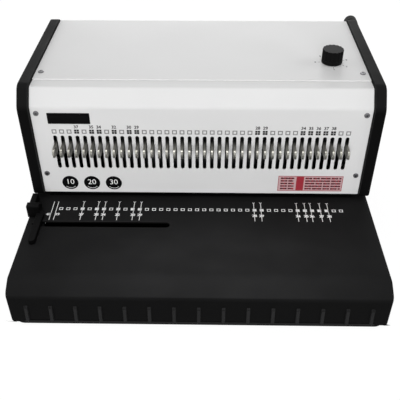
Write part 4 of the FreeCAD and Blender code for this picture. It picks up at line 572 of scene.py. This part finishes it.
def wear(piece, *materials):
    """Gives a piece its materials, in order."""
    piece.data.materials.clear()
    for material in materials:
        piece.data.materials.append(material)
    return piece


def smooth(piece, angle=32):
    only(piece)
    bpy.ops.object.shade_smooth_by_angle(angle=math.radians(angle))
    return modify(piece, "WEIGHTED_NORMAL", mode="FACE_AREA", weight=50, keep_sharp=True)


def attach(piece, body):
    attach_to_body(piece, body)
    return piece


def join(pieces, name):
    """Joins pieces into one."""
    deselect()
    for piece in pieces:
        piece.select_set(True)
    bpy.context.view_layer.objects.active = pieces[0]
    if len(pieces) > 1:
        bpy.ops.object.join()
    return settle(bpy.context.object, name)


def copies(piece, places):
    """Copies of a piece, one at each place, with meshes of their own. The piece itself goes."""
    made = []
    for place in places:
        twin = piece.copy()
        twin.data = piece.data.copy()
        twin.location = place
        bpy.context.scene.collection.objects.link(twin)
        made.append(twin)
    bpy.data.objects.remove(piece)
    return made


def block(name, low, high):
    """A block between two corners."""
    low, high = Vector(low), Vector(high)
    deselect()
    bpy.ops.mesh.primitive_cube_add(size=1, location=(low + high) / 2)
    piece = bpy.context.object
    piece.scale = high - low
    return settle(piece, name)


def disc(name, radius, depth, place, turn=(0, 0, 0), vertices=64):
    """A short cylinder round a place, its axis turned from upright."""
    deselect()
    bpy.ops.mesh.primitive_cylinder_add(
        vertices=vertices, radius=radius, depth=depth, location=place, rotation=turn
    )
    return settle(bpy.context.object, name)


def stroke(start, end, width):
    """A flat line on the table plane between two points."""
    start, end = Vector(start), Vector(end)
    run = end - start
    deselect()
    bpy.ops.mesh.primitive_plane_add(size=1, location=(*((start + end) / 2), 0))
    piece = bpy.context.object
    piece.scale = (run.length, width, 1)
    piece.rotation_euler.z = math.atan2(run.y, run.x)
    return settle(piece, "stroke")


def outline(side, line, height=None):
    """A flat rectangle with an open middle, on the table plane."""
    deselect()
    bpy.ops.mesh.primitive_plane_add(size=1)
    piece = bpy.context.object
    piece.scale = (side, height or side, 1)
    settle(piece, "outline")
    edit(piece)
    pick_all()
    bpy.ops.mesh.inset(thickness=line)
    bpy.ops.mesh.delete(type="FACE")
    leave()
    return piece


def number(text, height, weight=0.0):
    """Plain figures on the table plane, centred, as a flat mesh."""
    deselect()
    bpy.ops.object.text_add()
    piece = bpy.context.object
    piece.data.body = text
    figure_height = 0.70
    piece.data.size = height / figure_height
    piece.data.align_x = "CENTER"
    piece.data.align_y = "CENTER"
    piece.data.offset = weight
    piece.data.resolution_u = 3
    bpy.ops.object.convert(target="MESH")
    return settle(bpy.context.object, "number")


def lay(piece, place, upright=False):
    """Puts flat work on the deck, or stands it up to face the user."""
    piece.location = place
    if upright:
        piece.rotation_euler.x = math.radians(90)
    return settle(piece, piece.name)


def refined(node, materials, width, segments=2, angle=35):
    """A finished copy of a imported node: its flat faces whole and its sharp edges broken."""
    piece = bpy.data.objects.new(node + "_finished", frame["nodes"][node].data.copy())
    bpy.context.scene.collection.objects.link(piece)
    edit(piece)
    pick_all()
    bpy.ops.mesh.remove_doubles(threshold=0.002 * MM)
    bpy.ops.mesh.dissolve_limited(angle_limit=math.radians(0.2), use_dissolve_boundaries=False)
    leave()
    wear(piece, *materials)
    if width:
        break_edges(piece, width, segments, angle)
    smooth(piece)
    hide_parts(node)
    return attach(piece, BODY[node])


def paint_faces(piece, material, test):
    """Gives the faces that pass a test another material."""
    piece.data.materials.append(material)
    last = len(piece.data.materials) - 1
    for face in piece.data.polygons:
        if test(face):
            face.material_index = last


def coat(maker, *nodes):
    """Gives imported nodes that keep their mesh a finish."""
    for node in nodes:
        wear(frame["nodes"][node], once(maker))
        for face in frame["nodes"][node].data.polygons:
            face.material_index = 0


# The pieces


def hole(index):
    """Distance of a hole from the middle of the row, counted from 1 at the left."""
    return (index - (sizes().holes + 1) / 2) * sizes().pitch


def open_holes():
    """Distances of the holes that no paper size ends at."""
    return [hole(index) for index in range(1, sizes().holes + 1) if index not in PAPER_EDGES]


def count(index):
    """The holes of a sheet that ends at a hole, counted from the far end of the row in its left half."""
    return str(max(index, sizes().holes + 1 - index))


# Holes at the edge of a paper size, and how many millimetres the edge lies to the right of each
PAPER_EDGES = {
    4: 0.0, 6: 0.9, 7: 0.5, 9: 0.2, 11: 1.2, 12: 1.0, 28: -0.5, 29: -0.7,
    34: -0.7, 35: 0.4, 36: -1.3, 37: 1.3, 38: 1.9,
}


class BINDER_OT_covers(bpy.types.Operator):
    """Finishes the moulded and sheet covers"""

    bl_idname = "binder.covers"
    bl_label = "Covers"

    def execute(self, context):
        edge, sheet_edge = sizes().edge, sizes().sheet_edge
        # The cheeks take a darker copy of the moulding: painted shade.
        cheek = (once(moulding, "cheek_moulding", 0.55), once(moulding, "cheek_edge", 0.9, 0.08))
        for node in ("left_side_panel", "right_side_panel"):
            refined(node, cheek, edge, 3)
        # The deck's moulding has the painted sheen, brightest in its middle and fading to the sides.
        deck = once(moulding, "deck_moulding", 1.0, 0.0, True)
        base = refined("base_cover", (deck, once(moulding, "deck_edge", 1.3, 0.08)), edge, 3)
        # The leaning front wall is painted darker than the deck: painted shade.
        paint_faces(base, once(moulding, "wall_moulding", 0.65), self.on_wall)
        # The faces of the ribs are painted much lighter: a painted highlight.
        paint_faces(base, once(moulding, "rib_moulding", 3.4), self.on_rib)
        refined("chip_drawer", (once(moulding),), edge * 0.7, 3)
        refined("edge_guide", (once(moulding, "guide_moulding", 0.35),), edge * 0.7, 3)
        for node in ("front_panel", "top_cover", "rear_cover"):
            refined(node, (once(sheet_paint), once(sheet_paint, "sheet_edge", 1.04)), sheet_edge)
        refined("bottom_plate", (once(black_paint),), sheet_edge)
        refined("rubber_feet", (once(rubber),), edge)
        return {"FINISHED"}

    def on_wall(self, face):
        """Whether a face is part of the leaning front wall."""
        nose_drop, nose_foot = 12 * MM, 140 * MM
        in_place = face.center.z < DECK - nose_drop and face.center.y < FACE - nose_foot
        return in_place and face.normal.y < -0.9

    def on_rib(self, face):
        """Whether a face is on a rib, before the leaning front wall, and isn't its sloping head."""
        foot = Vector((0, FACE - 157 * MM, DECK - 48.5 * MM))
        lean, rise, head_drop = 2.5 * MM, 37.5 * MM, 24 * MM
        wall = foot.y + lean * (face.center.z - foot.z) / rise
        below_head = face.center.z < DECK - head_drop and face.normal.z < 0.2
        return below_head and face.center.y < wall - 0.4 * MM


class BINDER_OT_works(bpy.types.Operator):
    """Finishes the frames, the punches, the drive and the wire closer"""

    bl_idname = "binder.works"
    bl_label = "Works"

    def execute(self, context):
        coat(plated_steel, "throat_spacers", "paper_stop", "motor_shelf", "slide_bracket", "stop_slide")
        coat(turned_steel, "tie_rods", "retaining_rod", "roller_pins", "cam_rollers", "camshaft")
        coat(turned_steel, "margin_shaft", "dial_spindle", "closer_shaft")
        coat(ground_steel, "press_cams", "closer_cams", "drive_gear", "output_pinion")
        coat(tool_steel, "punch_pins")
        coat(blued_steel, "punch_beam", "die_plate", "punch_guide_plate", "guide_clamp")
        coat(black_paint, "left_side_frame", "right_side_frame")
        self.springs("return_springs", "beam_stroke", DECK + 13 * MM)
        self.springs("closer_springs", "closer_stroke", DECK + 40 * MM)
        coat(bearing_bronze, "camshaft_bushes", "closer_bushes")
        coat(pale_plastic, "closer_guides")
        coat(cast_alloy, "gearbox_case")
        coat(motor_paint, "motor_can")
        for node in ("wire_anvil", "closer_bar"):
            refined(node, (once(ground_steel),), 0.3 * MM)
        board = refined("control_board", (once(board_mask),), 0)
        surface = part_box("bottom_plate")[1].z + 9 * MM
        paint_faces(board, once(gloss_plastic), lambda face: face.center.z > surface)
        return {"FINISHED"}

    def springs(self, node, joint, seat):
        """Finishes a pair of springs. The share they would shorten by, as the load comes down to their
        seat, is worked out but not used.
        """
        piece = refined(node, (once(spring_wire),), 0)
        high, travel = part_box(node)[1], TRAVEL[joint]
        1 - travel / (high.z - seat)
        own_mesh(piece)


class BINDER_OT_release_pins(bpy.types.Operator):
    """Finishes the forty release pins"""

    bl_idname = "binder.release_pins"
    bl_label = "Release pins"

    def execute(self, context):
        for node in PIN_GROUPS:
            refined(node, (once(pin_steel),), 0.3 * MM)
        return {"FINISHED"}


class BINDER_OT_deck_marks(bpy.types.Operator):
    """Prints the hole marks, paper size lines and their figures on the deck"""

    bl_idname = "binder.deck_marks"
    bl_label = "Deck marks"

    def execute(self, context):
        size = sizes()
        row, far, near, figure_row = -size.square_row, -11 * MM, -45.5 * MM, -35.8 * MM
        fork_long, fork_wide = 2 * MM, 1.3 * MM
        parts = copies(outline(size.square, size.square_line), [(x, row, 0) for x in open_holes()])
        filled = stroke((-size.square / 2, 0), (size.square / 2, 0), size.square)
        parts += copies(filled, [(hole(i), row, 0) for i in PAPER_EDGES])
        lines = [hole(i) + shift * MM for i, shift in PAPER_EDGES.items()]
        for x in lines:
            fork = (x, far - fork_long)
            parts.append(stroke((x, near), fork, size.size_line))
            parts += [stroke(fork, (x + side * fork_wide, far), size.size_line) for side in (-1, 1)]
        for x, index in zip(lines, PAPER_EDGES):
            parts.append(lay(self.figures(count(index)), (x, figure_row, 0)))
        side_near, side_far, apart = -46 * MM, -12 * MM, 2.6 * MM
        for index, x in enumerate((-175.5 * MM, -170.4 * MM)):
            parts.append(stroke((x, side_near), (x, side_far), size.size_line))
            place = (x + (index * 2 - 1) * apart, figure_row, 0)
            parts.append(lay(self.figures(str(size.holes - index)), place))
        marks = join(parts, "deck_marks")
        marks.location = (0, FACE, DECK + 0.01 * MM)
        settle(marks, "deck_marks")
        wear(thicken(marks, size.ink), white_ink())
        attach(marks, "housing")
        return {"FINISHED"}

    def figures(self, text):
        return number(text, 4.0 * MM, 0.2 * MM)


class BINDER_OT_panel_marks(bpy.types.Operator):
    """Prints the hole marks and their figures on the panel"""

    bl_idname = "binder.panel_marks"
    bl_label = "Panel marks"

    def execute(self, context):
        size = sizes()
        side, row, line = size.box_mark, size.box_row, 1.15 * MM
        grey = copies(outline(side, line), [(x, row, 0) for x in open_holes()])
        self.stand(grey, "panel_marks_grey", once(ink, "grey_ink", (0.21, 0.21, 0.21)))
        gap, figure_row = 0.36 * MM, row + 6.0 * MM
        dot = (side - gap) / 2
        aside = (dot + gap) / 2
        corners = [(i * aside, j * aside) for i in (-1, 1) for j in (-1, 1)]
        places = [(hole(i) + x, row + y, 0) for i in PAPER_EDGES for x, y in corners]
        black = copies(stroke((-dot / 2, 0), (dot / 2, 0), dot), places)
        for index in PAPER_EDGES:
            figures = number(count(index), 3.7 * MM, 0.14 * MM)
            black.append(lay(figures, (hole(index), figure_row, 0)))
        self.stand(black, "panel_marks_black", black_ink())
        return {"FINISHED"}

    def stand(self, parts, name, material):
        marks = join(parts, name)
        lay(marks, (0, FACE - 0.01 * MM, DECK), upright=True)
        wear(thicken(marks, sizes().ink), material)
        attach(marks, "housing")


class BINDER_OT_name_plate(bpy.types.Operator):
    """Makes the bare plate at the panel's upper left corner"""

    bl_idname = "binder.name_plate"
    bl_label = "Name plate"

    def execute(self, context):
        left, right, foot, head, depth = -170.3 * MM, -123.0 * MM, 101.5 * MM, 115.2 * MM, 0.5 * MM
        plate = block("name_plate", (left, FACE - depth, DECK + foot), (right, FACE, DECK + head))
        edit(plate)
        pick("edges", along(0, 1, 0))
        bpy.ops.mesh.bevel(offset=0.8 * MM, segments=4)
        sink_front(0.7 * MM, 0.15 * MM)
        leave()
        wear(plate, once(black_enamel))
        smooth(break_edges(plate, 0.08 * MM))
        attach(plate, "housing")
        return {"FINISHED"}


class BINDER_OT_badges(bpy.types.Operator):
    """Makes the three round badges with plain figures"""

    bl_idname = "binder.badges"
    bl_label = "Badges"

    def execute(self, context):
        depth, sunk = 0.5 * MM, 0.12 * MM
        upright = (math.radians(90), 0, 0)
        for figure, x in (("10", -156 * MM), ("20", -130 * MM), ("30", -104 * MM)):
            place = Vector((x, FACE - depth / 2, DECK + 20 * MM))
            badge = disc("badge_" + figure, sizes().badge, depth, place, upright, 96)
            edit(badge)
            sink_front(0.5 * MM, sunk)
            leave()
            wear(badge, once(black_enamel))
            smooth(break_edges(badge, 0.08 * MM))
            attach(badge, "housing")
            self.figure(figure, place + Vector((0, sunk - depth / 2, 0)))
        return {"FINISHED"}

    def figure(self, text, place):
        """White figures over a shallow arc."""
        figures = lay(number(text, 7.2 * MM, 0.02 * MM), (0, 1.1 * MM, 0))
        radius, line, arc_top = 7.8 * MM, 0.45 * MM, -5.2 * MM
        deselect()
        bpy.ops.mesh.primitive_circle_add(vertices=96, radius=radius, fill_type="NGON")
        arc = bpy.context.object
        edit(arc)
        pick_all()
        bpy.ops.mesh.inset(thickness=line)
        bpy.ops.mesh.delete(type="FACE")
        pick_all()
        bpy.ops.mesh.bisect(plane_co=(0, arc_top, 0), plane_no=(0, 1, 0), clear_outer=True)
        leave()
        marks = join([figures, arc], "badge_figures_" + text)
        lay(marks, place, upright=True)
        wear(thicken(marks, sizes().ink), white_ink())
        attach(marks, "housing")


class BINDER_OT_label(bpy.types.Operator):
    """Makes the blank ruled label at the panel's lower right"""

    bl_idname = "binder.label"
    bl_label = "Blank label"

    def execute(self, context):
        left, right, foot, head = 91.5 * MM, 168 * MM, 10 * MM, 32 * MM
        middle = Vector(((left + right) / 2, (foot + head) / 2, 0))
        width, height = right - left, head - foot
        sticker = round_corners(stroke((left, middle.y), (right, middle.y), height), 1.2 * MM)
        paper = lay(sticker, (0, FACE, DECK), upright=True)
        settle(paper, "label")
        wear(thicken(paper, 0.1 * MM), once(ink, "label_paper", (0.56, 0.38, 0.39)))
        attach(paper, "housing")
        border = outline(width, 0.7 * MM, height)
        border.location = middle
        x, clear = left + 26 * MM, 1 * MM
        red = [settle(border, "frame"), stroke((x, foot + clear), (x, head - clear), 9 * MM)]
        dark = []
        rows, lowest, rise, broad, fine = 5, 3.4, 3.8, 2.4 * MM, 1.6 * MM
        for index in range(rows):
            level = foot + (lowest + index * rise) * MM
            first = (left + 3 * MM, left + 19 * MM, index)
            second = (left + 32 * MM, right - 2 * MM, index + 3)
            for start, end, seed in (first, second):
                red += self.dashes(start, end, level, seed, broad)
                dark += self.dashes(start, end, level, seed + 1, fine)
        self.rules(red, "label_rules", 0.11 * MM, once(ink, "red_ink", tuple(colours().label)))
        self.rules(dark, "label_lines", 0.15 * MM, once(ink, "dark_red_ink", (0.045, 0.010, 0.014)))
        return {"FINISHED"}

    def dashes(self, start, end, level, seed, width):
        """A row of uneven dashes, with a gap after each."""
        row = []
        shortest, step, extra, gap, least = 2.6, 1.7, 3.4, 1.1 * MM, 2 * MM
        while start < end - least:
            run = min((shortest + seed * step % extra) * MM, end - start)
            row.append(stroke((start, level), (start + run, level), width))
            start += run + gap
            seed += 1
        return row

    def rules(self, parts, name, lift, material):
        rules = join(parts, name)
        lay(rules, (0, FACE - lift, DECK), upright=True)
        wear(thicken(rules, sizes().ink / 2), material)
        attach(rules, "housing")


class BINDER_OT_screws(bpy.types.Operator):
    """Makes the six pan-head screws with cross recesses"""

    bl_idname = "binder.screws"
    bl_label = "Cover screws"

    def execute(self, context):
        radius, low_row, high_row = 3.1 * MM, DECK + 33.5 * MM, DECK + 114.6 * MM
        back, sunk = FACE + 46.5 * MM, 0.1 * MM
        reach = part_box("cover_screws")[1].x - radius
        places = [(side * reach, FACE, z) for side in (-1, 1) for z in (low_row, high_row)]
        places += [(side * reach, back, TOP - sunk) for side in (-1, 1)]
        tips, turns = (90, 90, 90, 90, 0, 0), (12, 40, 75, 24, 58, 5)
        parts = copies(self.screw(radius), places)
        for screw, tip, turn in zip(parts, tips, turns):
            screw.rotation_euler = (math.radians(tip), 0, 0)
            screw.rotation_euler.rotate_axis("Z", math.radians(turn))
        screws = smooth(join(parts, "cover_screws_finished"), 40)
        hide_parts("cover_screws")
        attach(screws, "housing")
        return {"FINISHED"}

    def screw(self, radius):
        """One screw, head up, the underside of its head at the origin."""
        rise, rim, shank = 1.45 * MM, 1.5 * MM, 9 * MM
        head = disc("screw", radius, rise, (0, 0, rise / 2), vertices=40)
        edit(head)
        pick("edges", lambda edge: all(v.co.z > rise * 0.9 for v in edge.verts))
        bpy.ops.mesh.bevel(offset=0.95 * MM, segments=5, profile=0.6)
        pick("faces", facing(0, 0, -1))
        bpy.ops.mesh.inset(thickness=rim)
        bpy.ops.mesh.extrude_region_move(TRANSFORM_OT_translate={"value": (0, 0, -shank)})
        leave()
        half, floor, arm, taper = 0.4 * MM, 0.35 * MM, 1.35 * MM, 0.55
        cutter = block("cross", (-half, -half, floor), (half, half, 2 * MM))
        edit(cutter)
        pick("faces", lambda face: abs(face.normal.z) < 0.1)
        bpy.ops.mesh.extrude_faces_move(TRANSFORM_OT_shrink_fatten={"value": arm})
        pick("verts", lambda vert: vert.co.z < 0.5 * MM)
        bpy.ops.transform.resize(value=(taper, taper, 1), center_override=(0, 0, 0))
        leave()
        modify(head, "BOOLEAN", object=cutter, operation="DIFFERENCE", solver="EXACT")
        bpy.data.objects.remove(cutter)
        wear(head, once(screw_steel))

        # The faces inside the cross recess are painted black: painted shade.
        def in_recess(face):
            sunk = face.center.z < rise - 0.05 * MM and face.normal.z > -0.5
            return sunk and face.center.xy.length < half + arm + 0.15 * MM

        paint_faces(head, once(black_paint), in_recess)
        return head


class BINDER_OT_size_dial(bpy.types.Operator):
    """Finishes the size dial, with its pointer and the scale round it"""

    bl_idname = "binder.size_dial"
    bl_label = "Size dial"

    def execute(self, context):
        refined("size_dial", (knob_moulding(),), 0.3 * MM)
        low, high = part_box("size_dial")
        middle = (low + high) / 2
        radius = (high.x - low.x) / 2
        start, end = ((middle.x, middle.y - radius * part) for part in (0.25, 0.86))
        pointer = round_corners(stroke(start, end, 1.1 * MM), 0.5 * MM)
        pointer.location.z = high.z - 0.03 * MM
        settle(pointer, "dial_pointer")
        wear(thicken(pointer, 0.02 * MM), white_ink())
        attach(pointer, "dial")
        parts = []
        steps, first, turn = 6, -90, 270
        near, far, figure_ring = radius + 1.5 * MM, radius + 4 * MM, radius + 7 * MM
        for index in range(steps):
            angle = math.radians(first + turn * index / (steps - 1))
            out = Vector((math.cos(angle), math.sin(angle), 0))
            parts.append(stroke((middle + out * near).xy, (middle + out * far).xy, 0.5 * MM))
            figure = number(str(index + 1), 3.2 * MM, 0.05 * MM)
            parts.append(lay(figure, (*(middle + out * figure_ring).xy, 0)))
        scale = join(parts, "dial_scale")
        scale.location.z = TOP + 0.01 * MM
        settle(scale, "dial_scale")
        wear(thicken(scale, sizes().ink), black_ink())
        attach(scale, "housing")
        return {"FINISHED"}


class BINDER_OT_margin_knob(bpy.types.Operator):
    """Finishes the margin knob, with its pointer and marks on the cheek"""

    bl_idname = "binder.margin_knob"
    bl_label = "Margin knob"

    def execute(self, context):
        refined("margin_knob", (knob_moulding(),), 0.3 * MM)
        low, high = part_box("margin_knob")
        middle = (low + high) / 2
        radius = (high.z - low.z) / 2
        pointer = round_corners(stroke((0, radius * 0.3), (0, radius * 0.85), 1.2 * MM), 0.55 * MM)
        self.stand(pointer, "knob_pointer", (low.x + 0.03 * MM, middle.y, middle.z), 0.02 * MM)
        attach(pointer, "margin")
        parts = []
        near, far, figure_ring = radius + 1.5 * MM, radius + 4.5 * MM, radius + 7.5 * MM
        for index, turn in enumerate((-30, 0, 30)):
            out = Vector((math.sin(math.radians(turn)), math.cos(math.radians(turn))))
            parts.append(stroke(out * near, out * far, 0.6 * MM))
            figure = number(str(index + 1), 3.4 * MM, 0.05 * MM)
            parts.append(lay(figure, (*(out * figure_ring), 0)))
        scale = join(parts, "knob_scale")
        self.stand(scale, "knob_scale", (CHEEK - 0.01 * MM, middle.y, middle.z), sizes().ink)
        attach(scale, "housing")
        return {"FINISHED"}

    def stand(self, piece, name, place, depth):
        """Turns a flat piece to face left, and gives it its depth and ink."""
        piece.location = place
        piece.rotation_euler = (math.radians(90), 0, math.radians(-90))
        settle(piece, name)
        wear(thicken(piece, depth), white_ink())


class BINDER_OT_lever(bpy.types.Operator):
    """Finishes the closing lever, and makes its ribbed grip"""

    bl_idname = "binder.lever"
    bl_label = "Closing lever"

    def execute(self, context):
        refined("closing_lever", (once(black_paint),), 0.5 * MM, 3)
        low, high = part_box("lever_grip")
        radius, span, tilt = (high.x - low.x) / 2, 62 * MM, math.radians(8)
        grip = disc("lever_grip_finished", radius - 0.6 * MM, span, (0, 0, 0), vertices=64)
        edit(grip)
        ribs, pitch, width, rise = 9, 5 * MM, 2.6 * MM, 0.55 * MM
        first = -(ribs - 1) / 2 * pitch
        for index in range(ribs):
            for side in (-1, 1):
                level = first + index * pitch + side * width / 2
                pick_all()
                bpy.ops.mesh.bisect(plane_co=(0, 0, level), plane_no=(0, 0, 1))

        def ribbed(face):
            middle = face.calc_center_median()
            step = (middle.z - first) / pitch
            on_step = abs(step - round(step)) < 0.2 and -0.5 < step < ribs - 0.5
            return on_step and middle.xy.length > radius - 2 * MM

        pick("faces", ribbed)
        bpy.ops.mesh.extrude_region_shrink_fatten(TRANSFORM_OT_shrink_fatten={"value": rise})
        pick("edges", lambda edge: all(abs(v.co.z) > span / 2 - 0.1 * MM for v in edge.verts))
        bpy.ops.mesh.bevel(offset=3.5 * MM, segments=5)
        leave()
        wear(grip, once(rubber, "grip_rubber"))
        break_edges(grip, 0.35 * MM, 2, 40)
        grip.rotation_euler.x = tilt - math.radians(90)
        grip.location = (low + high) / 2
        smooth(settle(grip, "lever_grip_finished"), 40)
        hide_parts("lever_grip")
        attach(grip, BODY["lever_grip"])
        return {"FINISHED"}


class BINDER_OT_fittings(bpy.types.Operator):
    """Finishes the mains inlet, the power switch and the pedal socket"""

    bl_idname = "binder.fittings"
    bl_label = "Rear fittings"

    def execute(self, context):
        plastic = once(moulding, "fitting_moulding", 1.0, 0.12)
        inlet = refined("power_inlet", (plastic,), 0.3 * MM)
        low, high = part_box("power_inlet")
        middle = (low + high) / 2
        floor, mouth, half_wide, half_high = 3.2 * MM, 1.2 * MM, 8.5 * MM, 6.5 * MM

        def on_blade(face):
            aside = face.center - middle
            inside = low.y + floor < face.center.y < REAR - mouth
            return inside and abs(aside.x) < half_wide and abs(aside.z) < half_high

        paint_faces(inlet, once(contact_brass), on_blade)
        refined("switch_frame", (plastic,), 0.3 * MM)
        refined("rocker", (once(gloss_plastic),), 0.3 * MM, 3)
        socket = refined("pedal_socket", (plastic,), 0.3 * MM)
        paint_faces(socket, once(turned_steel), lambda face: face.center.y > REAR - 0.05 * MM)
        return {"FINISHED"}


# The stage


class BINDER_OT_stage(bpy.types.Operator):
    """Lays the floor, and sets the lamps, the world and the camera"""

    bl_idname = "binder.stage"
    bl_label = "Stage"

    def execute(self, context):
        self.floor()
        self.world(context)
        # The front lamp is a broad wash of light, which metal doesn't mirror as a spot
        self.lamp("front_lamp", (-0.05, -2.3, 0.62), 1.5, 47).visible_glossy = False
        self.lamp("top_lamp", (0.0, -0.25, 2.1), 1.5, 16.5)
        self.lamp("left_lamp", (-2.0, 0.25, 0.9), 1.4, 11)
        self.lamp("right_lamp", (2.0, 0.25, 0.9), 1.4, 11)
        self.lamp("rear_lamp", (0.0, 2.2, 0.9), 1.6, 20)
        self.camera(context)
        return {"FINISHED"}

    def shown(self, tree):
        """1 for rays that show the background, and 0 for rays that light the machine."""
        camera_ray = Wire(tree).node("ShaderNodeLightPath", {}, out="Is Camera Ray")
        glossy_ray = camera_ray.other_output("Is Glossy Ray")
        passing_ray = camera_ray.other_output("Is Transmission Ray")
        return camera_ray.maths("MAXIMUM", glossy_ray).maths("MAXIMUM", passing_ray)

    def floor(self):
        deselect()
        bpy.ops.mesh.primitive_plane_add(size=9)
        floor = settle(bpy.context.object, "floor")
        finish = Finish("floor", roughness=0.9, specular_ior_level=0.0)
        tree = finish.place.tree
        cloud = finish.place.noise((0.4,) * 3)
        shade = tuple(colours().floor)
        finish.feed(base_color=cloud.shades(scaled(shade, 0.99), shade))
        brightness, share = 1.13, 0.85
        lit = Wire(tree, finish.shader.outputs[0])
        glow = lit.node("ShaderNodeEmission", {"Strength": brightness})
        mix = lit.node("ShaderNodeMixShader", {0: share * self.shown(tree), 1: lit, 2: glow})
        tree.links.new(mix.socket, tree.nodes["Material Output"].inputs[0])
        wear(floor, finish.material)

    def world(self, context):
        world = bpy.data.worlds.new("studio")
        world.use_nodes = True
        context.scene.world = world
        ambient = 0.08
        strength = ambient + (1 - ambient) * self.shown(world.node_tree)
        ground = world.node_tree.nodes["Background"]
        ground.inputs["Color"].default_value = (1, 1, 1, 1)
        world.node_tree.links.new(strength.socket, ground.inputs["Strength"])

    def lamp(self, name, place, size, power):
        deselect()
        aim = Vector((0, -0.02, 0.1)) - Vector(place)
        turn = aim.to_track_quat("-Z", "Y").to_euler()
        bpy.ops.object.light_add(type="AREA", location=place, rotation=turn)
        lamp = bpy.context.object
        lamp.name = name
        lamp.data.shape = "DISK"
        lamp.data.size = size
        lamp.data.energy = power
        return lamp

    def camera(self, context):
        place, angles, lens = (0.0091, -0.6513, 0.5155), (51.613, 0.111, 0.908), 55.67
        deselect()
        turn = Euler([math.radians(angle) for angle in angles])
        bpy.ops.object.camera_add(location=place, rotation=turn)
        camera = bpy.context.object
        camera.data.sensor_width = 36
        camera.data.lens = lens
        context.scene.camera = camera
        context.scene.view_settings.view_transform = "Standard"


STEPS = (
    BINDER_OT_stage,
    BINDER_OT_covers,
    BINDER_OT_works,
    BINDER_OT_release_pins,
    BINDER_OT_deck_marks,
    BINDER_OT_panel_marks,
    BINDER_OT_name_plate,
    BINDER_OT_badges,
    BINDER_OT_label,
    BINDER_OT_screws,
    BINDER_OT_size_dial,
    BINDER_OT_margin_knob,
    BINDER_OT_lever,
    BINDER_OT_fittings,
)


class BINDER_PT_pieces(bpy.types.Panel):
    """Lists the steps that make the machine's finishes and fine pieces"""

    bl_label = "Binding machine"
    bl_idname = "BINDER_PT_pieces"
    bl_space_type = "VIEW_3D"
    bl_region_type = "UI"
    bl_category = "Binder"

    def draw(self, context):
        for step in STEPS:
            self.layout.operator(step.bl_idname)
        for group in (context.scene.binder_sizes, context.scene.binder_colours):
            for name in group.__annotations__:
                self.layout.prop(group, name)


CLASSES = (BinderSizes, BinderColours, *STEPS, BINDER_PT_pieces)


def register():
    for kind in CLASSES:
        bpy.utils.register_class(kind)
    bpy.types.Scene.binder_sizes = bpy.props.PointerProperty(type=BinderSizes)
    bpy.types.Scene.binder_colours = bpy.props.PointerProperty(type=BinderColours)


def unregister():
    del bpy.types.Scene.binder_colours
    del bpy.types.Scene.binder_sizes
    for kind in reversed(CLASSES):
        bpy.utils.unregister_class(kind)


def main():
    register()
    for step in STEPS:
        family, name = step.bl_idname.split(".")
        getattr(getattr(bpy.ops, family), name)()


if __name__ == "__main__":
    main()
